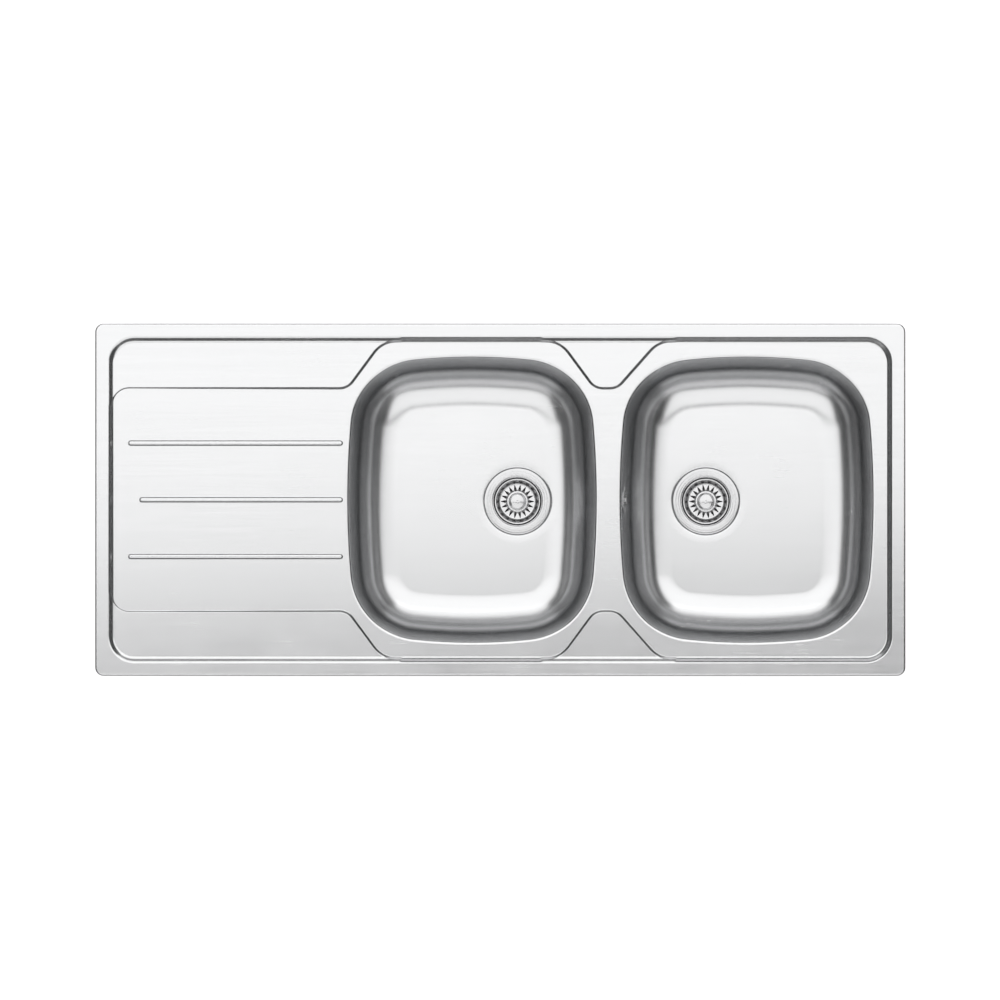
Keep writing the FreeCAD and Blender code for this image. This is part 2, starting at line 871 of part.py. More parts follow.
def clip_claw():
    half = claw_width / 2
    eye_start = Vector(0, -half, -pin_drop)
    eye = Part.makeCylinder(knuckle_radius, claw_width, eye_start, Vector(0, 1, 0))
    hole_start = Vector(0, -half - over, -pin_drop)
    hole = Part.makeCylinder(pin_radius + pin_gap, claw_width + 2 * over, hole_start, Vector(0, 1, 0))
    face = knuckle_radius - claw_thickness
    low = -pin_drop - claw_length
    strip = box((face, knuckle_radius), (-half, half), (low, -pin_drop))
    lip = box((face, knuckle_radius + claw_lip), (-half, half), (low, low + claw_thickness))
    tab_z = -pin_drop - tab_drop
    tab = box((knuckle_radius - tab_reach, knuckle_radius), (-half, half), (tab_z - claw_thickness, tab_z))
    pitch = claw_width / tooth_count
    tip = knuckle_radius + claw_lip
    teeth = []
    for i in range(tooth_count):
        start = -half + i * pitch
        point = (start + pitch / 2, low + claw_thickness + tooth_height)
        shape = [(start, low), (start + pitch, low), point]
        face_wire = wire(shape, lambda p: Vector(tip - claw_thickness, p.x, p.y))
        teeth.append(Part.Face(face_wire).extrude(Vector(claw_thickness, 0, 0)))
    claw = fused([eye, strip, lip, tab] + teeth).cut(hole)
    screw_x = clip_screw_x()
    bore = clip_screw_radius + thread_gap
    return claw.cut(cylinder(bore, tab_z - claw_thickness - over, tab_z + over, screw_x))


def clip_screw_x():
    return knuckle_radius - claw_thickness - (tab_reach - claw_thickness) / 2


def clip_screw():
    top = -pin_drop - tab_drop + clip_screw_rise
    low = top - clip_screw_length
    x = clip_screw_x()
    shank = cylinder(clip_screw_radius, low, top, x)
    head = cylinder(clip_screw_head_radius, low - clip_screw_head, low, x)
    half = driver_slot / 2
    reach = clip_screw_head_radius + over
    notch = box(
        (x - reach, x + reach), (-half, half), (low - clip_screw_head - over, low - clip_screw_head / 2)
    )
    return fused([shank, head]).cut(notch)


def clip_places():
    # Name, seat and the angle of the outward direction
    places = []
    clip_inset = rim_band + step_width + clip_step_gap + plate_length / 2
    row_y = depth / 2 - clip_inset
    seats = {
        "left": ((drainer_end_x - width / 2) / 2, ledge_z - sheet),
        "middle": (divider_x, ledge_z - sheet),
        "right": (width / 2 - clip_end_inset, deck_z - sheet),
    }
    for name, (x, z) in seats.items():
        places.append(("back_" + name, Vector(x, row_y, z), 90))
        places.append(("front_" + name, Vector(x, -row_y, z), -90))
    end_x = width / 2 - clip_inset
    slope = drainer_fall / (drainer_end_x + width / 2)
    left_z = deck_z - sheet + slope * (drainer_end_x + end_x - plate_length / 2) - end_seat_gap
    places.append(("left_end", Vector(-end_x, 0, left_z), 180))
    places.append(("right_end", Vector(end_x, 0, deck_z - sheet), 0))
    return places


def save_clips():
    brackets = []
    pins = []
    for name, seat, angle in clip_places():
        shapes = []
        for shape in (clip_bracket(), clip_pin(plate_width), clip_claw(), clip_screw()):
            shape.rotate(origin, up, angle)
            shapes.append(moved(shape, seat.x, seat.y, seat.z))
        brackets.append(shapes[0])
        pins.append(shapes[1])
        save("clip_claw_" + name, shapes[2])
        save("clip_screw_" + name, shapes[3])
        print("  hinge", name, [round(v, 4) for v in (seat.x, seat.y, seat.z - pin_drop)], angle)
    save("clip_brackets", Part.Compound(brackets))
    save("clip_pins", Part.Compound(pins))


def right_bowl():
    hole = on_wall(cylinder(overflow_hole, -sheet - over, over))
    return bowl(right_x, right_reach, right_drain_x).cut(hole)


save("deck", deck())
save("left_bowl", bowl(left_x, left_reach, left_drain_x))
save("right_bowl", right_bowl())
save("rim_seal", rim_seal())
save("left_sound_pad", sound_pad(left_x, -1))
save("right_sound_pad", sound_pad(right_x, 1))
save_waste("left", left_drain_x, False)
save_waste("right", right_drain_x, True)
save("overflow_rose", overflow_rose())
save("overflow_screw", overflow_screw())
gasket = ring(overflow_hole, elbow_flange_radius, elbow_front, -sheet)
save("overflow_gasket", on_wall(gasket))
save("overflow_elbow", overflow_elbow())
save("overflow_pipe", overflow_pipe())
save("overflow_pipe_nuts", pipe_nuts())
save_clips()
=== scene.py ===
import bpy
import bmesh
import json
import math
import numpy as np
from itertools import groupby
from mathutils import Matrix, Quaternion, Vector
from mathutils.geometry import delaunay_2d_cdt


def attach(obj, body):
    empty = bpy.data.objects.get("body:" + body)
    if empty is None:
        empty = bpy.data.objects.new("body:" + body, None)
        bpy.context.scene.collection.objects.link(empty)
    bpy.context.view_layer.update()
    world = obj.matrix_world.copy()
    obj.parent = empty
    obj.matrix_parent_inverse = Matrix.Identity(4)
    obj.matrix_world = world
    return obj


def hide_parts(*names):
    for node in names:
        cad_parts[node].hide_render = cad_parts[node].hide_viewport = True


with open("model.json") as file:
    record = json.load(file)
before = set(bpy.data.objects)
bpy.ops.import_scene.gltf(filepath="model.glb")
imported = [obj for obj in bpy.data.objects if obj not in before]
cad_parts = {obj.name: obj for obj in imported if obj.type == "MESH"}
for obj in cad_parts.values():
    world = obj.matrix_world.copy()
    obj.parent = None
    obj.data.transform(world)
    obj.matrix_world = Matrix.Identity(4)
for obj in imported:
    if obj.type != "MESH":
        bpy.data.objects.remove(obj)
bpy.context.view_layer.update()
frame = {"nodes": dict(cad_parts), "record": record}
nodes = frame["nodes"]
print("frame loaded:", len(nodes), "nodes")


def addObject(name, data):
    made = bpy.data.objects.new(name, data)
    bpy.context.scene.collection.objects.link(made)
    return made


# The camera looks down, leant a little so that deeper places show nearer the front
view = {"width": 1.4189, "x": -0.0004, "y": -0.0004, "away": 3.0, "lean": 0.85, "clipEnd": 20}
camera = addObject("camera", bpy.data.cameras.new("camera"))
camera.data.type = "ORTHO"
camera.data.ortho_scale = view["width"]
camera.data.clip_end = view["clipEnd"]
lean = math.radians(view["lean"])
camera.location = (view["x"], view["y"] - view["away"] * math.sin(lean), view["away"] * math.cos(lean))
camera.rotation_euler = (lean, 0, 0)
bpy.context.scene.camera = camera
bpy.context.scene.view_settings.view_transform = "Standard"


def addLamp(name, place, target, size, radiance, turn=0.0):
    # A rectangle of even radiance, turned in its own plane by some degrees
    lamp = bpy.data.lights.new(name, "AREA")
    lamp.shape = "RECTANGLE"
    lamp.size, lamp.size_y = size
    lamp.energy = radiance * math.pi * size[0] * size[1]
    holder = addObject(name, lamp)
    holder.location = place
    aim = Vector(target) - Vector(place)
    holder.rotation_mode = "QUATERNION"
    holder.rotation_quaternion = aim.to_track_quat("-Z", "Y") @ Quaternion((0, 0, 1), math.radians(turn))


lamps = {
    "overhead": {"place": (0, 0.93, 1.6), "target": (0, 0.93, 0), "size": (4.2, 2.12), "radiance": 1.52, "turn": 3.0},
    "back": {"place": (0, 2.34, 1.18), "target": (0, 0.9, 0), "size": (3.4, 1.26), "radiance": 1.5},
    "front": {"place": (0, -1.07, 1.29), "target": (0, -0.37, 0), "size": (2.8, 1.74), "radiance": 1.35},
}
for name, lamp in lamps.items():
    addLamp(name, **lamp)


def addNode(tree, kind, settings=None, **values):
    # Values go to inputs by name, or by number as i0, i1 and so on
    node = tree.nodes.new(kind)
    for key, value in (settings or {}).items():
        setattr(node, key, value)
    for key, value in values.items():
        socket = node.inputs[int(key[1:]) if key[1:].isdigit() else key]
        if isinstance(value, bpy.types.NodeSocket):
            tree.links.new(value, socket)
        else:
            socket.default_value = value
    return node


def calc(tree, operation, a, b, clamp=False):
    return addNode(tree, "ShaderNodeMath", {"operation": operation, "use_clamp": clamp}, i0=a, i1=b).outputs[0]


def swing(tree, value, amount):
    # A value around a half, as a small value around nought
    return calc(tree, "MULTIPLY", calc(tree, "SUBTRACT", value, 0.5), amount)


def noise(tree, place, scale, detail, rough):
    return addNode(tree, "ShaderNodeTexNoise", Vector=place, Scale=scale, Detail=detail, Roughness=rough).outputs["Fac"]


def ranged(tree, value, low, high, toLow, toHigh):
    return addNode(tree, "ShaderNodeMapRange", i0=value, i1=low, i2=high, i3=toLow, i4=toHigh).outputs[0]


# Dim all round, white where the camera sees past the floor
surround = {"dim": 0.036, "seen": 1.0}
world = bpy.data.worlds.new("studio")
bpy.context.scene.world = world
world.use_nodes = True
tree = world.node_tree
seen = addNode(tree, "ShaderNodeLightPath").outputs["Is Camera Ray"]
shade = ranged(tree, seen, 0, 1, surround["dim"], surround["seen"])
tree.links.new(shade, tree.nodes["Background"].inputs["Color"])


def newGroup(name, inputs, outputs):
    group = bpy.data.node_groups.new(name, "ShaderNodeTree")
    for label, kind in inputs.items():
        group.interface.new_socket(label, in_out="INPUT", socket_type="NodeSocket" + kind)
    for label in outputs:
        group.interface.new_socket(label, in_out="OUTPUT", socket_type="NodeSocketFloat")
    return group, group.nodes.new("NodeGroupInput").outputs, group.nodes.new("NodeGroupOutput").inputs


def makeBrushGroup():
    # Fine parallel scratches, stretched by the Scale input, and wider bands along them
    inputs = {"Place": "Vector", "Scale": "Vector", "Depth": "Float"}
    group, given, result = newGroup("brushMarks", inputs, ["Marks", "Bands"])
    stretch = {"operation": "MULTIPLY"}
    place = addNode(group, "ShaderNodeVectorMath", stretch, i0=given["Place"], i1=given["Scale"]).outputs[0]
    group.links.new(swing(group, noise(group, place, 1.0, 4.0, 0.65), given["Depth"]), result["Marks"])
    group.links.new(swing(group, noise(group, place, 0.22, 2.0, 0.5), given["Depth"]), result["Bands"])
    return group


def makeSmudgeGroup():
    # Soft blotches, such as wiped water marks and uneven polish
    inputs = {"Place": "Vector", "Size": "Float", "Amount": "Float"}
    group, given, result = newGroup("smudges", inputs, ["Smudge"])
    finer = calc(group, "DIVIDE", 1.0, given["Size"])
    place = addNode(group, "ShaderNodeVectorMath", {"operation": "SCALE"}, i0=given["Place"], Scale=finer).outputs[0]
    cloud = calc(group, "MULTIPLY", noise(group, place, 1.0, 3.0, 0.55), 0.8)
    speck = calc(group, "MULTIPLY", noise(group, place, 7.0, 2.0, 0.5), 0.2)
    group.links.new(swing(group, calc(group, "ADD", cloud, speck), given["Amount"]), result["Smudge"])
    return group


def makeEdgeGroup():
    # Rubbed edges, from how sharply the surface turns there
    group, given, result = newGroup("edgeWear", {"Amount": "Float", "Place": "Vector"}, ["Wear"])
    edge = ranged(group, addNode(group, "ShaderNodeNewGeometry").outputs["Pointiness"], 0.52, 0.62, 0, 1)
    broken = calc(group, "MULTIPLY", edge, noise(group, given["Place"], 90.0, 3.0, 0.6))
    group.links.new(calc(group, "MULTIPLY", broken, given["Amount"]), result["Wear"])
    return group


brushGroup, smudgeGroup, edgeGroup = makeBrushGroup(), makeSmudgeGroup(), makeEdgeGroup()
print("shader groups made")


def useGroup(tree, group, **values):
    return addNode(tree, "ShaderNodeGroup", {"node_tree": group}, **values).outputs


def newMaterial(name):
    material = bpy.data.materials.new(name)
    material.use_nodes = True
    tree = material.node_tree
    return material, tree, tree.nodes["Principled BSDF"], addNode(tree, "ShaderNodeTexCoord").outputs["Object"]


def shadeOf(tree, colour, *offsets):
    # A colour made lighter or darker by small values
    gain = offsets[0]
    for offset in (*offsets[1:], 1.0):
        gain = calc(tree, "ADD", gain, offset)
    return addNode(tree, "ShaderNodeVectorMath", {"operation": "SCALE"}, i0=colour, Scale=gain).outputs[0]


def smudgeOf(tree, place, look):
    amount, size = look["smudge"]
    return useGroup(tree, smudgeGroup, Place=place, Size=size, Amount=amount)["Smudge"]


def finishShader(tree, shader, look, shades, uneven, height):
    # The look's colour, roughness and bump, each with what varies it
    relief = look.get("relief", 0.0002)
    bump = addNode(tree, "ShaderNodeBump", Strength=look["bump"], Distance=relief, Height=height).outputs[0]
    rough = calc(tree, "ADD", look["rough"], uneven, True)
    wires = {"Base Color": shadeOf(tree, look["colour"], *shades), "Roughness": rough, "Normal": bump}
    for label, socket in wires.items():
        tree.links.new(socket, shader.inputs[label])
    shader.inputs["Metallic"].default_value = look.get("metallic", 0)


def steelMaterial(name, look):
    # Brushed or polished sheet. With a grain attribute the marks follow the pressed form.
    material, tree, shader, place = newMaterial(name)
    along = place
    if "attribute" in look:
        along = addNode(tree, "ShaderNodeAttribute", {"attribute_name": look["attribute"]}).outputs["Vector"]
        shader.inputs["Specular Tint"].default_value = (*look["glancing"], 1)
    marks = useGroup(tree, brushGroup, Place=along, Scale=look["brush"], Depth=look["depth"])
    smudge = smudgeOf(tree, place, look)
    shades = calc(tree, "MULTIPLY", marks["Bands"], 0.10), calc(tree, "MULTIPLY", smudge, 0.25)
    uneven = calc(tree, "ADD", calc(tree, "MULTIPLY", marks["Marks"], 0.25), smudge)
    finishShader(tree, shader, {**look, "metallic": 1}, shades, uneven, marks["Marks"])
    return material


def grainedMaterial(name, look):
    # Rubber, foam, damping mat and moulded plastic, or zinc plating with its faint crystals
    material, tree, shader, place = newMaterial(name)
    if "metallic" in look:
        grain = addNode(tree, "ShaderNodeTexVoronoi", Vector=place, Scale=look["grain"]).outputs["Distance"]
        spread = calc(tree, "MULTIPLY", grain, look["mottle"])
    else:
        grain = noise(tree, place, look["grain"], 4.0, 0.6)
        spread = swing(tree, grain, look["mottle"])
    smudge = smudgeOf(tree, place, look)
    wear = useGroup(tree, edgeGroup, Amount=look["wear"], Place=place)["Wear"]
    finishShader(tree, shader, look, (spread, smudge, wear), smudge, grain)
    return material


steelLooks = {
    "deckSteel": {
        "colour": (0.62, 0.622, 0.627), "rough": 0.25, "brush": (9, 420, 420), "depth": 0.4, "bump": 0.05,
        "smudge": (0.10, 0.12),
    },
    "bowlSteel": {
        "colour": (0.63, 0.632, 0.637), "rough": 0.25, "brush": (14, 420, 420), "depth": 0.3, "bump": 0.03,
        "smudge": (0.10, 0.12), "attribute": "grainPlace", "glancing": (0.54, 0.545, 0.55),
    },
    "wasteSteel": {
        "colour": (0.57, 0.57, 0.575), "rough": 0.22, "brush": (60, 60, 700), "depth": 0.5, "bump": 0.05,
        "smudge": (0.12, 0.02),
    },
    "basketSteel": {
        "colour": (0.60, 0.60, 0.605), "rough": 0.20, "brush": (80, 80, 500), "depth": 0.5, "bump": 0.06,
        "smudge": (0.12, 0.015),
    },
    "screwSteel": {
        "colour": (0.56, 0.56, 0.565), "rough": 0.30, "brush": (120, 120, 900), "depth": 0.6, "bump": 0.10,
        "smudge": (0.15, 0.01),
    },
}
grainedLooks = {
    "blackRubber": {
        "colour": (0.035, 0.035, 0.038), "rough": 0.62, "grain": 900.0, "mottle": 0.3, "bump": 0.3,
        "smudge": (0.2, 0.02), "wear": 0.6,
    },
    "sealFoam": {
        "colour": (0.12, 0.12, 0.125), "rough": 0.85, "grain": 600.0, "mottle": 0.8, "bump": 0.8, "relief": 0.0006,
        "smudge": (0.2, 0.02), "wear": 0.3,
    },
    "dampingMat": {
        "colour": (0.20, 0.20, 0.205), "rough": 0.75, "grain": 260.0, "mottle": 0.5, "bump": 0.7, "relief": 0.0008,
        "smudge": (0.2, 0.04), "wear": 0.4,
    },
    "whitePlastic": {
        "colour": (0.80, 0.80, 0.775), "rough": 0.42, "grain": 450.0, "mottle": 0.05, "bump": 0.12,
        "smudge": (0.08, 0.03), "wear": 0.1,
    },
    "zincSteel": {
        "colour": (0.60, 0.603, 0.608), "rough": 0.38, "grain": 700.0, "mottle": 0.12, "bump": 0.15,
        "smudge": (0.3, 0.012), "wear": 0.25, "metallic": 1,
    },
}
materials = {name: steelMaterial(name, look) for name, look in steelLooks.items()}
materials.update({name: grainedMaterial(name, look) for name, look in grainedLooks.items()})
slotLook = {
    "sink_steel": "deckSteel", "waste_steel": "wasteSteel", "basket_steel": "basketSteel", "screw_steel": "screwSteel",
    "clip_steel": "zincSteel", "rubber": "blackRubber", "foam": "sealFoam", "damping": "dampingMat",
    "waste_plastic": "whitePlastic",
}
for part in frame["record"]["subparts"]:
    held = nodes[part["node"]].data.materials
    held.clear()
    held.append(materials[slotLook[part["material_slot"]]])
print("materials made:", len(bpy.data.materials))


# Pale floor, white where the camera sees it, its glow dimmed by ambient occlusion: painted shade under and inside
# things
floorLook = {
    "level": -0.2338, "half": 15.0, "colour": (0.82, 0.82, 0.82), "rough": 0.9, "shine": 0.1, "mottle": 0.01,
    "glow": 0.62, "paintedShadeReach": 0.08,
}
floorMesh = bpy.data.meshes.new("floor")
half = floorLook["half"]
floorMesh.from_pydata([(-half, -half, 0), (half, -half, 0), (half, half, 0), (-half, half, 0)], [], [(0, 1, 2, 3)])
floor = addObject("floor", floorMesh)
floor.location.z = floorLook["level"]
material, tree, shader, place = newMaterial("paleFloor")
mottle = swing(tree, noise(tree, place, 3.0, 3.0, 0.5), floorLook["mottle"])
seen = addNode(tree, "ShaderNodeLightPath").outputs["Is Camera Ray"]
# Ambient occlusion lowers the camera-seen glow near and inside other parts: painted shade
paintedShade = addNode(tree, "ShaderNodeAmbientOcclusion", {"samples": 8}, Distance=floorLook["paintedShadeReach"]).outputs["AO"]
glow = calc(tree, "MULTIPLY", calc(tree, "MULTIPLY", seen, paintedShade), floorLook["glow"])
tree.links.new(shadeOf(tree, floorLook["colour"], mottle), shader.inputs["Base Color"])
tree.links.new(glow, shader.inputs["Emission Strength"])
shader.inputs["Emission Color"].default_value = (1, 1, 1, 1)
shader.inputs["Roughness"].default_value = floorLook["rough"]
shader.inputs["Specular IOR Level"].default_value = floorLook["shine"]
floorMesh.materials.append(material)


def finishPiece(name, mesh, slot, body, replaced=(), look=None):
    mesh.name = name
    mesh.materials.append(materials[look or slotLook[slot]])
    piece = addObject(name, mesh)
    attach(piece, body)
    if replaced:
        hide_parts(*replaced)


def openEdges(faces):
    # The edges that only one face has, running as in that face
    edges = dict.fromkeys((a, b) for face in faces for a, b in zip(face, face[1:] + face[:1]))
    return [(a, b) for a, b in edges if (b, a) not in edges]


def sheetMesh(points, normals, faces, thickness, grain=None):
    # A surface with its normals, given a thickness below it and closed round every open edge
    used = sorted({i for face in faces for i in face})
    renumber = {i: k for k, i in enumerate(used)}
    faces = [tuple(renumber[i] for i in face) for face in faces]
    points, normals, count = points[used], normals[used], len(used)
    everyPoint = np.vstack([points, points - normals * thickness])
    under = [tuple(i + count for i in reversed(face)) for face in faces]
    sides = [(b, a, a + count, b + count) for a, b in openEdges(faces)]
    mesh = bpy.data.meshes.new("sheet")
    mesh.from_pydata(everyPoint.tolist(), [], faces + under + sides, shade_flat=False)
    loopNormals = [normals[i] for face in faces for i in face]
    loopNormals += [-normals[i - count] for face in under for i in face]
    for side in sides:
        corner = everyPoint[list(side)]
        flat = np.cross(corner[1] - corner[0], corner[3] - corner[0])
        loopNormals += [flat / max(np.linalg.norm(flat), 1e-12)] * 4
    if grain is not None:
        layer = mesh.attributes.new("grainPlace", "FLOAT_VECTOR", "POINT")
        layer.data.foreach_set("vector", np.vstack([grain[used]] * 2).astype(np.float32).ravel())
    mesh.normals_split_custom_set([tuple(n) for n in loopNormals])
    return mesh


def softened(corners, steps=5):
    # A path of (r, z) or (r, z, radius) corners, with an arc at each corner that has a radius
    path = []
    for i, corner in enumerate(corners):
        point = np.array(corner[:2], float)
        radius = corner[2] if len(corner) > 2 else 0
        if not radius:
            path.append(tuple(point))
            continue
        before = point - np.array(corners[i - 1][:2], float)
        after = np.array(corners[(i + 1) % len(corners)][:2], float) - point
        before, after = before / np.linalg.norm(before), after / np.linalg.norm(after)
        turn = math.acos(max(-1, min(1, float(before @ after))))
        inward = (after - before) / np.linalg.norm(after - before)
        centre = point + inward * radius / math.cos(turn / 2)
        first = point - before * (radius * math.tan(turn / 2)) - centre
        sign = 1 if before[0] * after[1] - before[1] * after[0] > 0 else -1
        for k in range(steps + 1):
            angle = sign * turn * k / steps
            c, s = math.cos(angle), math.sin(angle)
            path.append((centre[0] + first[0] * c - first[1] * s, centre[1] + first[0] * s + first[1] * c))
    return path


def arc(x, y, radius, low, high, steps):
    # Points on an arc, each with its direction from the centre
    turns = [low + (high - low) * k / steps for k in range(steps + 1)]
    return [(x + radius * math.cos(a), y + radius * math.sin(a), math.cos(a), math.sin(a)) for a in turns]


def circle(x, y, radius, count):
    return [spot[:2] for spot in arc(x, y, radius, 0, 2 * math.pi, count)[:-1]]


def loft(low, high, count):
    # Faces between two closed rings of points, from the number that each begins with
    return [(low + s, low + (s + 1) % count, high + (s + 1) % count, high + s) for s in range(count)]


def turnedMesh(rings, segments, closed=True):
    # Turns a path of (r, z) round Z
    points = [(x, y, z) for r, z in rings for x, y in circle(0, 0, r, segments)]
    faces = []
    for k in range(len(rings) if closed else len(rings) - 1):
        faces += loft(k * segments, (k + 1) % len(rings) * segments, segments)
    return points, faces


def plainMesh(points, faces, sharp):
    # A closed solid, smooth but for the edges that turn by more than some degrees
    mesh = bpy.data.meshes.new("solid")
    mesh.from_pydata(points, [], faces, shade_flat=False)
    work = bmesh.new()
    work.from_mesh(mesh)
    bmesh.ops.remove_doubles(work, verts=work.verts, dist=1e-6)
    bmesh.ops.recalc_face_normals(work, faces=work.faces)
    work.to_mesh(mesh)
    work.free()
    mesh.set_sharp_from_angle(angle=math.radians(sharp))
    return mesh


def together(parts):
    points, faces = [], []
    for somePoints, someFaces in parts:
        faces += [tuple(i + len(points) for i in face) for face in someFaces]
        points += somePoints
    return points, faces


def addLine(points, links, path, closed=True):
    # Adds a path's points, each linked to the next
    base, count = len(points), len(path)
    points.extend(path)
    links.extend((base + i, base + (i + 1) % count) for i in range(count if closed else count - 1))


def triangulated(points, links, nearness, sliver):
    # Points and triangles of a flat layout, all triangles anticlockwise, and the triangles' middles
    spots, _, tri, _, _, _ = delaunay_2d_cdt([Vector(p) for p in points], links, [], 0, nearness)
    spots, tri = np.array([tuple(p) for p in spots]), np.array(tri)
    area = np.cross(spots[tri[:, 1]] - spots[tri[:, 0]], spots[tri[:, 2]] - spots[tri[:, 0]])
    tri = np.where(area[:, None] > 0, tri, tri[:, ::-1])[np.abs(area) > sliver]
    return spots, tri, spots[tri].mean(axis=1)


def gridOf(halfX, halfY, trim, gap):
    # Evenly spaced points, up to the trim past the far sides
    across, along = (np.arange(-half, half + trim, gap) for half in (halfX, halfY))
    return np.array([(x, y) for x in across for y in along])


def slopeNormals(height, x, y, step):
    # Where the surface of a height function faces, not yet of unit length
    slopeX = (height(x + step, y) - height(x - step, y)) / (2 * step)
    slopeY = (height(x, y + step) - height(x, y - step)) / (2 * step)
    return np.stack([-slopeX, -slopeY, np.ones(len(x))], axis=1)


def unit(rows):
    return rows / np.linalg.norm(rows, axis=1)[:, None]


def signedDistance(x, y, path):
    # Positive inside a closed path
    px, py = path[:, 0], path[:, 1]
    dx, dy = np.roll(px, -1) - px, np.roll(py, -1) - py
    length = np.maximum(dx * dx + dy * dy, 1e-18)
    nearest = np.full(len(x), 1e9)
    inside = np.zeros(len(x), bool)
    for i in range(len(path)):
        t = np.clip(((x - px[i]) * dx[i] + (y - py[i]) * dy[i]) / length[i], 0, 1)
        nearest = np.minimum(nearest, (x - px[i] - t * dx[i]) ** 2 + (y - py[i] - t * dy[i]) ** 2)
        ay, by = py[i], py[i] + dy[i]
        if ay != by:
            inside ^= ((ay > y) != (by > y)) & (x < px[i] + (y - ay) * dx[i] / dy[i])
    return np.where(inside, 1, -1) * np.sqrt(nearest)


# Both bowls, whose outlines are also the deck's two mouths
bowlForm = {
    "reachY": 0.206, "sideRadius": 1.250, "endRadius": 0.800, "corner": 0.103, "roll": 0.005, "fillet": 0.056,
    "draft": 7.5, "depth": 0.150, "sheet": 0.0009, "level": -0.005, "recess": 0.0479, "recessDepth": 0.003,
    "wasteHole": 0.0385, "lipRound": 0.0035, "lipEdge": 0.0010, "lipReach": 0.012,
}
bowls = {
    "left": {"x": -0.0401, "reach": 0.1793, "drain": 0.0244},
    "right": {"x": 0.3497, "reach": 0.1825, "drain": 0.2916, "overflow": -0.037},
}
floorZ = bowlForm["level"] - bowlForm["depth"]


def bowlOutline(reach):
    # Points and outward directions round the outline, anticlockwise from the right side's middle
    f = bowlForm
    side, end = Vector((reach - f["sideRadius"], 0)), Vector((0, f["reachY"] - f["endRadius"]))
    fromSide, fromEnd = f["sideRadius"] - f["corner"], f["endRadius"] - f["corner"]
    across = end - side
    along = (fromSide**2 - fromEnd**2 + across.length**2) / (2 * across.length)
    away = math.sqrt(fromSide**2 - along**2)
    across.normalize()
    corner = side + across * along + Vector((-across.y, across.x)) * away
    first = math.atan2(corner.y - side.y, corner.x - side.x)
    last = math.atan2(corner.y - end.y, corner.x - end.x)
    quarter = arc(*side, f["sideRadius"], 0, first, 14)[:-1] + arc(*corner, f["corner"], first, last, 30)[:-1]
    quarter += arc(*end, f["endRadius"], last, math.pi / 2, 12)[:-1] + [(0, f["reachY"], 0, 1)]
    half = quarter + [(-x, y, -nx, ny) for x, y, nx, ny in reversed(quarter[:-1])]
    table = np.array(half + [(x, -y, nx, -ny) for x, y, nx, ny in reversed(half[1:-1])])
    return table[:, :2], table[:, 2:]


for bowl in bowls.values():
    bowl["outline"], bowl["outward"] = bowlOutline(bowl["reach"])


def bowlRing(bowl, inset):
    return bowl["outline"] - bowl["outward"] * inset + np.array([bowl["x"], 0])


def insideBowl(x, y, bowl, inset=0.0):
    return signedDistance(x, y, bowlRing(bowl, inset)) > 0


def outsideBowls(x, y, inset=0.0):
    return ~np.any([insideBowl(x, y, bowl, inset) for bowl in bowls.values()], axis=0)


# The pressed deck
deckForm = {
    "halfX": 0.575, "halfY": 0.250, "sheet": 0.0009, "rimTop": 0.004, "rimBand": 0.018, "roll": 0.003,
    "outerCorner": 0.012, "stepWidth": 0.0096, "stepShare": 0.97, "stepCorner": 0.038, "level": -0.005,
    "drainerEnd": -0.2283, "fall": 0.002, "fallBend": 0.02, "ledge": -0.0015, "ledgeY": 0.1595, "ledgeTop": 0.2265,
    "ledgeLeft": -0.5515, "ledgeEnd": 0.025, "ledgeBeyond": 0.004, "ledgePast": 0.018, "lowBend": 0.022,
    "highBend": 0.042, "slant": 53.5, "rightSlant": 48.5,
    "middleStarts": (0.1458, 0.1553), "slope": 0.0044, "slopeShift": 0.8, "leastSlope": 0.3, "ribPitch": 0.0805,
    "ribWidth": 0.0084, "ribHeight": 0.0019, "ribLeft": -0.5285, "ribSetback": 0.016, "ribRight": -0.2230,
    "flankShare": 0.74, "flankWidth": 0.56,
}


def grown(corners, distance):
    # A path of corners moved outward, with its arcs' radii to match
    moved = []
    for i, corner in enumerate(corners):
        here = Vector(corner[:2])
        before = (here - Vector(corners[i - 1][:2])).normalized()
        after = (Vector(corners[(i + 1) % len(corners)][:2]) - here).normalized()
        shift = Vector((before.y + after.y, -before.x - after.x)) * (distance / (1 + before.dot(after)))
        radius = corner[2] if len(corner) > 2 else 0
        if radius:
            sign = 1 if before.x * after.y - before.y * after.x > 0 else -1
            radius = max(radius + sign * distance, 1e-5)
        moved.append((here.x + shift.x, here.y + shift.y, radius))
    return moved


def denseOutline(corners, gap):
    # A closed path round softened corners, its points no further apart than the gap
    rounded, path = [], []
    for point in softened(corners, 14):
        if not rounded or math.dist(point, rounded[-1]) > 2e-5:
            rounded.append(point)
    for a, b in zip(rounded, rounded[1:] + rounded[:1]):
        steps = max(1, math.ceil(math.dist(a, b) / gap))
        path += [(a[0] + (b[0] - a[0]) * k / steps, a[1] + (b[1] - a[1]) * k / steps) for k in range(steps)]
    return path


def boxInset(x, y, halfX, halfY, radius):
    # How far a point lies inside a box with rounded corners
    qx, qy = np.abs(x) - (halfX - radius), np.abs(y) - (halfY - radius)
    return radius - np.hypot(np.maximum(qx, 0), np.maximum(qy, 0)) - np.minimum(np.maximum(qx, qy), 0)


def rimInset(x, y):
    return boxInset(x, y, deckForm["halfX"], deckForm["halfY"], deckForm["outerCorner"])


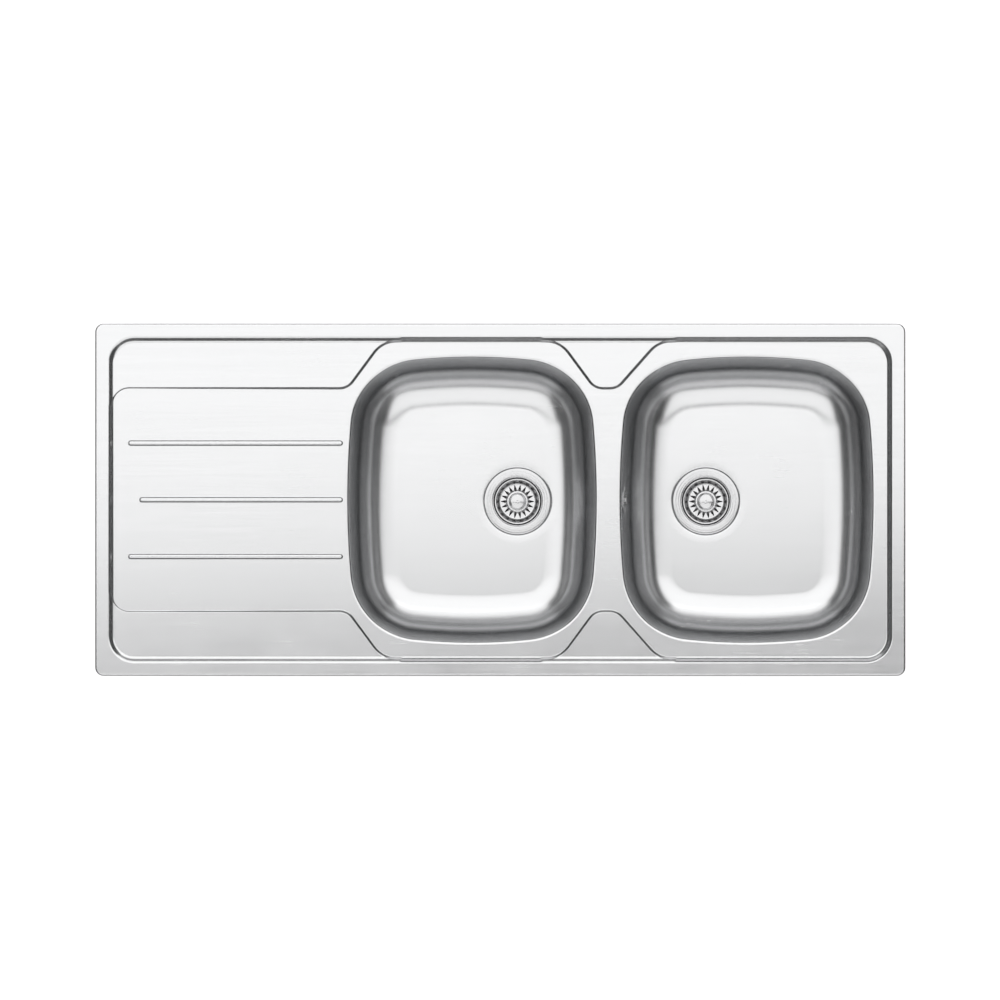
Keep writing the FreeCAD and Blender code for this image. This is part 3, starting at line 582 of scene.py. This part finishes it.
def ledgeSide(startX, way, angle):
    # A ledge's slanted side, from its low line over its high line to past its end
    f = deckForm
    slant, top = math.radians(angle), f["ledgeTop"]
    lowX = startX + way * f["lowBend"] * math.tan(slant / 2)
    highX = lowX + way * (top - f["ledgeY"]) / math.tan(slant)
    endX = highX + way * f["highBend"] * math.tan(slant / 2) + way * f["ledgeBeyond"]
    return [(lowX, f["ledgeY"], f["lowBend"]), (highX, top, f["highBend"]), (endX, top), (endX, top + f["ledgePast"])]


def ledgeOutlines():
    # The ledges of the back half: beside the drainer, and between the bowls' corners
    f = deckForm
    left, outer, startY = f["ledgeLeft"], f["ledgeLeft"] - f["ledgePast"], f["ledgeY"] - f["ledgeEnd"] - 0.001
    start = [(outer, startY), (left, startY), (left, f["ledgeY"], f["ledgeEnd"])]
    sideLedge = [*start, *ledgeSide(f["drainerEnd"], 1, f["slant"]), (outer, f["ledgeTop"] + f["ledgePast"])]
    leftStart, rightStart = f["middleStarts"]
    return sideLedge, ledgeSide(leftStart, -1, f["slant"])[::-1] + ledgeSide(rightStart, 1, f["rightSlant"])


ledges = ledgeOutlines()
ledgePaths = [np.array(denseOutline(corners, 0.002)) for corners in ledges]


def ribEnds(place):
    # The middles of a rib's round ends; the middle rib starts further right
    f = deckForm
    half = f["ribWidth"] / 2
    return f["ribLeft"] + (f["ribSetback"] if place == 0 else 0) + half, f["ribRight"] - half


def softRamp(t, bend=0.17):
    # An even slope from 0 to 1 with a short bend at each end
    t = np.clip(t, 0, 1)
    low, high = t * t / (2 * bend), 1 - bend - (1 - t) ** 2 / (2 * bend)
    return np.where(t < bend, low, np.where(t > 1 - bend, high, t - bend / 2)) / (1 - bend)


def deckHeight(x, y):
    # The top face's height, but for the roll of the outer edge
    f = deckForm
    slope = np.clip((f["drainerEnd"] - x) / (f["drainerEnd"] + f["halfX"]), 0, None)
    z = f["level"] + f["fall"] * np.sqrt(slope * slope + f["fallBend"] ** 2) - f["fall"] * f["fallBend"]
    for place in (-1, 0, 1):
        away = np.hypot(x - np.clip(x, *ribEnds(place)), y - place * f["ribPitch"])
        across = np.clip(2 * away / f["ribWidth"], 0, 1)
        flank = f["flankShare"] * softRamp((1 - across) / f["flankWidth"])
        z = z + f["ribHeight"] * (flank + (1 - f["flankShare"]) * (1 - across**2))
    for path in ledgePaths:
        rise = f["ledge"] - z
        run = f["slope"] * np.clip(rise / (f["ledge"] - f["level"]), f["leastSlope"], 1)
        z = z + rise * softRamp((signedDistance(x, np.abs(y), path) + run * f["slopeShift"]) / run)
    stepIn = boxInset(x, y, f["halfX"] - f["rimBand"], f["halfY"] - f["rimBand"], f["stepCorner"])
    t = np.clip((f["stepWidth"] * f["stepShare"] - stepIn) / f["stepWidth"], 0, 1)
    return z + (f["rimTop"] - z) * (t * t * (3 - 2 * t))


# The lines that the deck's mesh follows: where they run, and the largest gap between their points
deckLines = {
    "rollSteps": 7, "rollGap": 0.006, "bandInsets": (0.0065, 0.0105), "bandCorner": 0.016, "bandGap": 0.008,
    "stepRings": 12, "stepGap": 0.0045, "ledgeRings": range(-1, 10), "ledgeGap": 0.003,
    "ribRings": (-1.6, -0.6, 0, 0.7, 1.5, 2.3, 3.1, 3.9, 5), "ribParts": 6.4, "ribEndSteps": 12, "ribSteps": 36,
    "mouthRings": (-0.002, -0.005), "margin": 0.0006, "gridMargin": 0.028, "gridGap": 0.011, "gridClear": 0.0045,
}


def layOutDeck():
    # Points of the deck's mesh seen from above, and the links between them
    f, g = deckForm, deckLines
    halfX, halfY, band = f["halfX"], f["halfY"], f["rimBand"]
    points, links = [], []

    def addBox(inset, radius, gap):
        x, y = halfX - inset, halfY - inset
        corners = [(-x, -y, radius), (x, -y, radius), (x, y, radius), (-x, y, radius)]
        addLine(points, links, denseOutline(corners, gap))

    def addRuns(path, mirror=1):
        # The parts of a path that lie on the pressed floor and outside the bowls
        ring = np.array(path) * (1, mirror)
        good = boxInset(*ring.T, halfX - band + 0.0002, halfY - band + 0.0002, f["stepCorner"]) > g["margin"]
        good &= outsideBowls(*ring.T, -0.001)
        for ok, run in groupby(zip(good, ring.tolist()), lambda pair: pair[0]):
            run = [point for _, point in run]
            if ok and len(run) > 1:
                addLine(points, links, run, False)

    for k in range(g["rollSteps"], -1, -1):
        inset = f["roll"] * (1 - math.sin(math.pi / 2 * k / g["rollSteps"]))
        addBox(inset, f["outerCorner"] - inset, g["rollGap"])
    for k in range(g["stepRings"]):
        inset = band - 0.0004 + k * (f["stepWidth"] + 0.0006) / (g["stepRings"] - 1)
        addBox(inset, f["stepCorner"] + band - inset, g["stepGap"])
    for inset in g["bandInsets"]:
        addBox(inset, g["bandCorner"] + inset, g["bandGap"])
    for corners in ledges:
        for k in g["ledgeRings"]:
            path = denseOutline(grown(corners, f["slope"] * f["slopeShift"] - f["slope"] * k / 8), g["ledgeGap"])
            addRuns(path)
            addRuns(path, -1)
    for place in (-1, 0, 1):
        left, right = ribEnds(place)
        for k in g["ribRings"]:
            radius = f["ribWidth"] / 2 * (1 - k / g["ribParts"])
            path = []
            for way, near, far in ((1, right, left), (-1, left, right)):
                end = arc(near, place * f["ribPitch"], way * radius, -math.pi / 2, math.pi / 2, g["ribEndSteps"])
                path += [spot[:2] for spot in end]
                x, y = path[-1]
                path += [(x + (far - x) * t / g["ribSteps"], y) for t in range(1, g["ribSteps"])]
            addLine(points, links, path)
    for bowl in bowls.values():
        addLine(points, links, bowlRing(bowl, 0).tolist())
        for inset in g["mouthRings"]:
            addRuns(bowlRing(bowl, inset))
    lined = np.array(points)
    grid = gridOf(halfX - g["gridMargin"], halfY - g["gridMargin"], 0.002, g["gridGap"])
    clear = np.array([np.hypot(*(lined - spot).T).min() for spot in grid]) > g["gridClear"]
    return points + grid[clear & outsideBowls(*grid.T)].tolist(), links


def makeDeck():
    f, step = deckForm, 0.0001
    spots, tri, middle = triangulated(*layOutDeck(), 1e-7, 1e-13)
    keep = (rimInset(*middle.T) > 1e-6) & outsideBowls(*middle.T)
    faces = [tuple(face) for face in tri[keep].tolist()]
    # The outer edge rolls down with a quarter round
    inset = np.maximum(rimInset(*spots.T), 0)
    rolled, away = inset < f["roll"], f["roll"] - inset
    fallen = f["rimTop"] - f["roll"] + np.sqrt(np.maximum(f["roll"] ** 2 - away**2, 0))
    surface = np.column_stack([spots, np.where(rolled, fallen, deckHeight(*spots.T))])
    lean = (away / f["roll"])[:, None]
    outward = slopeNormals(rimInset, *spots.T, step)[:, :2] * lean
    rollNormals = np.hstack([outward, np.sqrt(np.maximum(1 - lean**2, 0))])
    normals = unit(np.where(rolled[:, None], rollNormals, slopeNormals(deckHeight, *spots.T, step)))
    # The skirt below the roll
    rim = [(a, b) for a, b in openEdges(faces) if inset[a] < 1e-5 and inset[b] < 1e-5]
    foot = list(dict.fromkeys(i for edge in rim for i in edge))
    lower = {i: len(surface) + k for k, i in enumerate(foot)}
    faces += [(b, a, lower[a], lower[b]) for a, b in rim]
    surface = np.vstack([surface, surface[foot] * (1, 1, 0)])
    mesh = sheetMesh(surface, np.vstack([normals, normals[foot]]), faces, f["sheet"])
    finishPiece("sink_deck", mesh, "sink_steel", "sink", ["deck"])


makeDeck()
print("deck made")


def bowlProfile():
    # Inset, height, and the surface's direction as (towards the middle, up)
    f = bowlForm
    draft = math.radians(f["draft"])
    c, s = math.cos(draft), math.sin(draft)
    rollZ, filletZ = f["level"] - f["roll"], floorZ + f["fillet"]
    filletX = c * (f["roll"] + f["fillet"]) + s * ((rollZ + s * (f["roll"] + f["fillet"]) - filletZ) / c)
    roll = arc(0, rollZ, f["roll"], math.pi / 2, draft, 10)
    fillet = arc(filletX, filletZ, -f["fillet"], draft, math.pi / 2, 22)
    (x, z), (endX, endZ) = roll[-1][:2], fillet[0][:2]
    return roll + [(x + (endX - x) * k / 8, z + (endZ - z) * k / 8, c, s) for k in range(1, 8)] + fillet


bowlRows = bowlProfile()
floorInset = bowlRows[-1][0]

# The bowls' mesh: a loft down to an inset, then the floor with rings round its waste and a grid
bowlMesh = {
    "loftInset": 0.042, "grainWidth": 0.5, "spin": 112, "lipSteps": 8, "lipMargin": 0.003, "gridX": 0.12, "gridY": 0.14,
    "gridGap": 0.013, "gridMargin": 0.005, "step": 0.00012,
}


def spotKey(spot, digits):
    return round(float(spot[0]), digits), round(float(spot[1]), digits)


def makeBowl(side, bowl):
    f, g = bowlForm, bowlMesh
    drainX, outward = bowl["drain"], bowl["outward"]
    lofted = [row for row in bowlRows if row[0] < g["loftInset"]]
    count = len(outward)
    points, normals, grain, faces = [], [], [], []
    travelled, last = 0.0, lofted[0]
    for inset, z, inward, upward in lofted:
        travelled += math.hypot(inset - last[0], z - last[1])
        last = (inset, z)
        points += [(x, y, z) for x, y in bowlRing(bowl, inset)]
        normals += [(-nx * inward, -ny * inward, upward) for nx, ny in outward]
        grain += [(x * g["grainWidth"], travelled, y * g["grainWidth"]) for x, y in bowl["outline"]]
    opened = openWall(bowl, lofted, points, normals, grain, faces) if "overflow" in bowl else ()
    for k in range(len(lofted) - 1):
        ring = loft(k * count, (k + 1) * count, count)
        faces += [face for s, face in enumerate(ring) if (k, s) not in opened]
    # The rest is one height field: the lower fillet, the floor and the round recess of the waste
    lip = [
        (f["wasteHole"], -f["recessDepth"]), (f["recess"] - 0.001, -f["recessDepth"], f["lipEdge"]),
        (f["recess"], 0, f["lipRound"]), (f["recess"] + f["lipReach"], 0),
    ]
    lipR, lipZ = np.array(softened(lip, g["lipSteps"])).T
    edgeRing = range((len(lofted) - 1) * count, len(lofted) * count)
    flat, links = [], []
    addLine(flat, links, [points[i][:2] for i in edgeRing])
    for row in bowlRows[len(lofted):]:
        ring = bowlRing(bowl, row[0])[::2]
        flat += [(x, y) for x, y in ring if math.hypot(x - drainX, y) > lipR[-1] + g["lipMargin"]]
    for r in [*lipR[::-1], *np.linspace(f["wasteHole"], f["recess"] - g["lipMargin"], 3)[1:]]:
        addLine(flat, links, circle(drainX, 0, r, g["spin"]))
    grid = gridOf(g["gridX"], g["gridY"], 0, g["gridGap"]) + (bowl["x"], 0)
    clear = insideBowl(*grid.T, bowl, floorInset + g["gridMargin"])
    clear &= np.hypot(grid[:, 0] - drainX, grid[:, 1]) > lipR[-1] + g["gridMargin"]
    spots, tri, middle = triangulated(flat + grid[clear].tolist(), links, 1e-7, 1e-13)
    keep = np.hypot(middle[:, 0] - drainX, middle[:, 1]) > f["wasteHole"] * math.cos(math.pi / g["spin"])
    keep &= insideBowl(*middle.T, bowl, lofted[-1][0])

    def height(x, y):
        short = np.clip(floorInset - signedDistance(x, y, bowlRing(bowl, 0)), 0, f["fillet"])
        base = floorZ + f["fillet"] - np.sqrt(f["fillet"] ** 2 - short**2)
        sunk = -np.interp(np.hypot(x - drainX, y), lipR, lipZ) / f["recessDepth"]
        return base * (1 - sunk) + (floorZ - f["recessDepth"]) * sunk

    ringAt = {spotKey(points[i], 6): i for i in edgeRing}
    number = []
    for spot, z, normal in zip(spots, height(*spots.T), unit(slopeNormals(height, *spots.T, g["step"]))):
        number.append(ringAt.get(spotKey(spot, 6), len(points)))
        if number[-1] == len(points):
            points.append((*spot, z))
            normals.append(normal)
            grain.append((*spot, 0.0))
    faces += [tuple(number[i] for i in face) for face in tri[keep]]
    mesh = sheetMesh(np.array(points), np.array(normals), faces, f["sheet"], np.array(grain))
    finishPiece("drawn_bowl_" + side, mesh, "sink_steel", "sink", [side + "_bowl"], "bowlSteel")


# The round hole of the overflow, and the patch of the wall's mesh round it
overflowForm = {"radius": 0.015, "rings": (0.0165, 0.019, 0.0225), "spin": 48, "columns": 4, "margin": 0.002}


def openWall(bowl, rows, points, normals, grain, faces):
    # Makes a patch of the left wall anew with its hole, and tells which of the loft's faces it takes
    f = overflowForm
    count = len(bowl["outward"])
    slope = math.cos(math.radians(bowlForm["draft"]))
    wall = [k for k, row in enumerate(rows) if abs(row[2] - slope) < 1e-9]
    top = rows[wall[0]]
    down = [math.hypot(row[0] - top[0], row[1] - top[1]) for row in rows]
    centre = (top[1] - bowl["overflow"]) / slope
    low = max(k for k in wall if down[k] < centre - f["radius"] - f["margin"])
    high = min(k for k in wall if down[k] > centre + f["radius"] + f["margin"])
    first, last = count // 2 - f["columns"], count // 2 + f["columns"]
    border = [(low, s) for s in range(first, last)] + [(k, last) for k in range(low, high)]
    border += [(high, s) for s in range(last, first, -1)] + [(k, first) for k in range(high, low, -1)]
    flat, links = [], []
    addLine(flat, links, [(bowl["outline"][s][1], down[k]) for k, s in border])
    for radius in (f["radius"], *f["rings"]):
        ring = circle(0, centre, radius, f["spin"])
        inner = [(u, v) for u, v in ring if down[low] + 0.001 < v < down[high] - 0.001]
        if len(inner) == len(ring):
            addLine(flat, links, ring)
        else:
            flat += inner
    spots, tri, middle = triangulated(flat, links, 1e-8, 0)
    strip = np.hstack([bowl["outline"], bowl["outward"]])[first:last + 1][::-1]
    insets, heights = np.array(rows)[wall[0]:, :2].T
    borderAt = {spotKey(flat[i], 7): k * count + s for i, (k, s) in enumerate(border)}
    number = []
    for u, v in spots:
        number.append(borderAt.get(spotKey((u, v), 7), len(points)))
        if number[-1] == len(points):
            atX, atY, outX, outY = (np.interp(u, strip[:, 1], column) for column in strip.T)
            inset, z = (np.interp(v, down[wall[0]:], column) for column in (insets, heights))
            points.append((atX - outX * inset + bowl["x"], atY - outY * inset, z))
            normals.append((-outX * top[2], -outY * top[2], top[3]))
            grain.append((atX * bowlMesh["grainWidth"], v, atY * bowlMesh["grainWidth"]))
    solid = np.hypot(middle[:, 0], middle[:, 1] - centre) >= f["radius"] * 0.998
    faces += [tuple(number[i] for i in face[::-1]) for face in tri[solid]]
    return {(k, s) for k in range(low, high) for s in range(first, last)}


for side, bowl in bowls.items():
    makeBowl(side, bowl)
print("bowls made")


def block(low, high, bevel):
    work = bmesh.new()
    bmesh.ops.create_cube(work, size=1)
    middle = (Vector(low) + Vector(high)) / 2
    span = Vector(high) - Vector(low)
    for vert in work.verts:
        vert.co = vert.co * span + middle
    bmesh.ops.bevel(work, geom=list(work.edges), offset=bevel, segments=2, affect="EDGES")
    work.verts.index_update()
    solid = [tuple(vert.co) for vert in work.verts], [tuple(vert.index for vert in face.verts) for face in work.faces]
    work.free()
    return solid


def spun(solid, degrees, shift=(0, 0, 0)):
    c, s = math.cos(math.radians(degrees)), math.sin(math.radians(degrees))
    points = [(x * c - y * s + shift[0], x * s + y * c + shift[1], z + shift[2]) for x, y, z in solid[0]]
    return points, solid[1]


def atDrain(solid, bowl):
    return spun(solid, 0, (bowl["drain"], 0.0, floorZ))


# The waste's flange, with its rolled lip, cup, spokes and hub
flangeForm = {
    "sheet": 0.0009, "seat": -0.0249, "hub": 0.006, "hubEdge": 0.0002, "hole": 0.00305, "spoke": 0.002, "spokes": 4,
    "spokeEnd": 0.0213, "spokeDrop": 0.00002, "overlap": 0.0003, "bevel": 0.00025,
    "path": [
        (0.0210, -0.0249), (0.0343, -0.0249, 0.0049), (0.0343, -0.0016, 0.0004), (0.0469, -0.0016),
        (0.0469, -0.00118, 0.0003), (0.0458, -0.00084, 0.0012), (0.0436, -0.00072, 0.0008), (0.0429, -0.00072, 0.0002),
        (0.0425, -0.00090, 0.0003), (0.0421, -0.00072, 0.0002), (0.0392, -0.00072, 0.0002), (0.0388, -0.00090, 0.0003),
        (0.0384, -0.00072, 0.0002), (0.0362, -0.00078, 0.0010), (0.0335, -0.0026, 0.0016), (0.0334, -0.0240, 0.0040),
        (0.0210, -0.0240),
    ],
}


def makeFlange(side, bowl):
    f = flangeForm
    seat, hub, edge, top = f["seat"], f["hub"], f["hubEdge"], f["seat"] + f["sheet"]
    hubPath = [(f["hole"], seat), (hub, seat), (hub, top - edge), (hub - edge, top), (f["hole"], top)]
    start, end = (hub - f["overlap"], -f["spoke"], seat), (f["spokeEnd"], f["spoke"], top - f["spokeDrop"])
    parts = [turnedMesh(softened(f["path"]), 144), turnedMesh(hubPath, 48)]
    parts += [spun(block(start, end, f["bevel"]), 360 / f["spokes"] * k) for k in range(f["spokes"])]
    mesh = plainMesh(*atDrain(together(parts), bowl), 38)
    finishPiece("waste_flange_" + side, mesh, "waste_steel", "sink", [side + "_waste_flange"])


# The strainer basket: one pressed sheet with wedge slots round its raised middle, and a rolled rim
basketForm = {
    "sheet": 0.0008, "slots": 18, "wedge": ((0.0168, 0.0021, 0.0005), (0.0235, 0.0004, 0.00028)), "spin": 126,
    "rings": ((0.0036, 0.0145, 0.0013), (0.0170, 0.0250, 0.0009)), "bead": (0.0315, -0.0042, 0.0006),
    "path": [
        (0.00305, -0.0100), (0.0145, -0.0100, 0.0014), (0.0167, -0.0140, 0.0010), (0.0254, -0.0140, 0.0026),
        (0.0300, -0.0044, 0.0012), (0.0306, -0.0037, 0.0006), (0.0320, -0.0037),
    ],
}


def piercedDisc(f):
    # The surface of a pressed disc with a ring of holes: points, normals and faces about its own middle
    beside, clearance, step = 0.0004, 0.00022, 0.00008
    pathR, pathZ = np.array(softened(f["path"], 6)).T
    between = np.concatenate([np.arange(*rings) for rings in f["rings"]])
    inner, outer = f["wedge"]
    corners = [(inner[0], -inner[1], inner[2]), (outer[0], -outer[1], outer[2]), outer, inner]
    flat, links, wedges = [], [], []
    for k in range(f["slots"]):
        c, s = math.cos(2 * math.pi * k / f["slots"]), math.sin(2 * math.pi * k / f["slots"])
        wedge = [(x * c - y * s, x * s + y * c) for x, y in softened(corners, 4)]
        addLine(flat, links, wedge)
        wedges.append(np.array(wedge))
    angles = 2 * np.pi * np.arange(f["spin"]) / f["spin"]
    for r in sorted({round(r, 6) for r in [*pathR, *between]}):
        ring = np.stack([r * np.cos(angles), r * np.sin(angles)], axis=1)
        if inner[0] - beside < r < outer[0] + beside:
            flat += ring[np.all([signedDistance(*ring.T, each) < -clearance for each in wedges], axis=0)].tolist()
        else:
            addLine(flat, links, ring.tolist())
    spots, tri, middle = triangulated(flat, links, 1e-8, 1e-14)
    keep = np.hypot(*middle.T) > pathR[0] * 0.995
    for wedge in wedges:
        keep &= signedDistance(*middle.T, wedge) < 0
    r = np.hypot(*spots.T)
    slope = (np.interp(r + step, pathR, pathZ) - np.interp(r - step, pathR, pathZ)) / (2 * step)
    normals = unit(np.stack([-slope * spots[:, 0] / r, -slope * spots[:, 1] / r, np.ones(len(r))], axis=1))
    return np.column_stack([spots, np.interp(r, pathR, pathZ)]), normals, [tuple(face) for face in tri[keep].tolist()]


basketSurface = piercedDisc(basketForm)


def makeBasket(side, bowl):
    points, normals, faces = basketSurface
    body = side + "_basket"
    mesh = sheetMesh(points + (bowl["drain"], 0.0, floorZ), normals, faces, basketForm["sheet"])
    finishPiece("basket_sheet_" + side, mesh, "basket_steel", body, [side + "_strainer_basket"])
    mesh = plainMesh(*atDrain(turnedMesh(circle(*basketForm["bead"], 16), 126), bowl), 60)
    finishPiece("basket_bead_" + side, mesh, "basket_steel", body)


# The knob to lift the basket by
knobForm = {
    "path": [
        (0, 0.00172), (0.0016, 0.00188, 0.0012), (0.0036, 0.00175, 0.0030), (0.0092, 0.00035, 0.0060),
        (0.01235, -0.0016, 0.0014), (0.01250, -0.0036, 0.0007), (0.0056, -0.0060, 0.0012), (0.0050, -0.0100),
        (0.0031, -0.0100), (0.0031, -0.0030), (0, -0.0030),
    ],
}


def makeKnob(side, bowl):
    mesh = plainMesh(*atDrain(turnedMesh(softened(knobForm["path"], 7), 80, False), bowl), 45)
    finishPiece("lift_knob_" + side, mesh, "waste_steel", side + "_basket", [side + "_basket_knob"])


def threaded(solid, low, high, f):
    # A helical ridge raised on the part of a turned wall between two heights
    points = []
    for x, y, z in solid[0]:
        if low < z < high and abs(math.hypot(x, y) - f["root"]) < 1e-6:
            phase = ((z - low) / f["pitch"] - math.atan2(y, x) / (2 * math.pi)) % 1
            ends = min(1, (z - low) / f["pitch"], (high - z) / f["pitch"])
            ridge = min(1, max(0, 1.3 - 2.6 * abs(phase - 0.5))) * ends
            gain = 1 + (f["crest"] / f["root"] - 1) * ridge
            x, y = x * gain, y * gain
        points.append((x, y, z))
    return points, solid[1]


# The waste's moulded body: flange, barrel, funnel, threaded outlet, and a boss on webs for the clamp screw
bodyForm = {
    "root": 0.0229, "crest": 0.0239, "low": -0.0776, "high": -0.0548, "end": -0.0780, "pitch": 0.0023, "steps": 80,
    "boss": (0.0065, 0.00305, -0.0400, -0.0260), "web": (0.0378, 0.0015, -0.0370, -0.0290), "webs": 4,
    "port": (0.01145, 0.00905, 0.0575, 0.0395, -0.020),
    "head": [
        (0.0239, -0.0530, 0.0012), (0.0405, -0.0440, 0.0025), (0.0405, -0.0104, 0.0010), (0.0460, -0.0104, 0.0005),
        (0.0460, -0.0069, 0.0005), (0.0375, -0.0069), (0.0375, -0.0410, 0.0020), (0.0200, -0.0500, 0.0020),
        (0.0200, -0.0780, 0.0004),
    ],
}


def makeWasteBody(side, bowl):
    f = bodyForm
    rows = [(f["root"], f["low"] + (f["high"] - f["low"]) * k / f["steps"]) for k in range(f["steps"] + 1)]
    path = [*rows, (f["crest"], f["high"] + 0.0006), *softened(f["head"]), (f["root"] - 0.0005, f["end"])]
    outer, inner, low, high = f["boss"]
    boss = turnedMesh([(inner, low), (outer, low), (outer, high), (inner, high)], 40)
    reach, half, low, high = f["web"]
    web = block((outer - 0.0005, -half, low), (reach, half, high), 0.0003)
    parts = [threaded(turnedMesh(path, 96), f["low"], f["high"], f), boss]
    parts += [spun(web, 360 / f["webs"] * k) for k in range(f["webs"])]
    if side == "right":
        # The port that takes the overflow's pipe, lying along X
        outer, inner, far, near, z = f["port"]
        ends = [(inner, near), (outer, near), (outer, far, 0.0006), (inner, far, 0.0005)]
        points, faces = turnedMesh(softened(ends, 4), 48)
        parts.append(([(-h, y, z + x) for x, y, h in points], faces))
    mesh = plainMesh(*atDrain(together(parts), bowl), 38)
    finishPiece("moulded_body_" + side, mesh, "waste_plastic", "sink", [side + "_waste_body"])


# The overflow's slotted rose, on the slanted wall
roseForm = {
    "sheet": 0.0012, "slots": 8, "wedge": ((0.0065, 0.0015, 0.0013), (0.0130, 0.0015, 0.0013)), "spin": 96,
    "rings": ((0.0030, 0.0190, 0.0011),), "tilt": 82.5, "place": (0.1758, 0, -0.037),
    "path": [
        (0.0021, 0.0015), (0.0048, 0.0015, 0.002), (0.0056, 0.0013, 0.002), (0.0150, 0.0016, 0.006),
        (0.0186, 0.0015, 0.0015), (0.0198, 0.0010),
    ],
}


def makeRose():
    f = roseForm
    points, normals, faces = piercedDisc(f)
    turn = np.array(Quaternion((0, 1, 0), math.radians(f["tilt"])).to_matrix())
    mesh = sheetMesh(points @ turn.T + np.array(f["place"]), normals @ turn.T, faces, f["sheet"])
    finishPiece("overflow_plate", mesh, "waste_steel", "sink", ["overflow_rose"])


# The clips' screws, with their threads and slotted heads
screwForm = {
    "root": 0.0021, "crest": 0.0025, "head": 0.0045, "headDepth": 0.0030, "headEdges": (0.0008, 0.0004),
    "pitch": 0.0010, "rowsPerTurn": 6, "plain": (0.0004, 0.0006), "tip": 0.0005, "slot": (0.0006, 0.0012),
    "slotReach": 0.006, "segments": 24, "sharp": 50,
}


def makeScrewMesh(length):
    f = screwForm
    head, depth = f["head"], f["headDepth"]
    low, high = depth + f["plain"][0], length - f["plain"][1]
    count = round((high - low) / f["pitch"] * f["rowsPerTurn"])
    rows = [(f["root"], low + (high - low) * k / count) for k in range(count + 1)]
    corners = [(0, 0), (head, 0, f["headEdges"][0]), (head, depth, f["headEdges"][1]), (f["crest"], depth)]
    path = [*softened(corners, 4), *rows, (f["root"] - f["tip"], length), (0, length)]
    points, faces = threaded(turnedMesh(path, f["segments"], False), low, high, f)
    screw = addObject("screw", plainMesh(points, faces, f["sharp"]))
    half, cut = f["slot"]
    slot = block((-f["slotReach"], -half, -0.001), (f["slotReach"], half, cut), 0.0001)
    cutter = addObject("slot", plainMesh(*slot, 40))
    change = screw.modifiers.new("slot", "BOOLEAN")
    change.object, change.operation, change.solver = cutter, "DIFFERENCE", "EXACT"
    mesh = bpy.data.meshes.new_from_object(screw.evaluated_get(bpy.context.evaluated_depsgraph_get()))
    for each in (screw, cutter):
        bpy.data.objects.remove(each)
    mesh.set_sharp_from_angle(angle=math.radians(f["sharp"]))
    return mesh


def makeClipScrews():
    # One screw in each solid screw's place, and one mesh for each length
    made = {}
    for name in sorted(name for name in nodes if name.startswith("clip_screw_")):
        corners = np.array([nodes[name].matrix_world @ Vector(corner) for corner in nodes[name].bound_box])
        low, high = corners.min(axis=0), corners.max(axis=0)
        length = round(float(high[2] - low[2]), 6)
        if length not in made:
            made[length] = makeScrewMesh(length)
        mesh = made[length].copy()
        shift = (*(low + high)[:2] / 2, low[2])
        for vert in mesh.vertices:
            vert.co = [a + b for a, b in zip(vert.co, shift)]
        place = name.removeprefix("clip_screw_")
        finishPiece("grip_screw_" + place, mesh, "screw_steel", "clip_" + place, [name])


for side, bowl in bowls.items():
    makeFlange(side, bowl)
    makeBasket(side, bowl)
    makeKnob(side, bowl)
    makeWasteBody(side, bowl)
makeRose()
makeClipScrews()
print("wastes, rose and screws made")
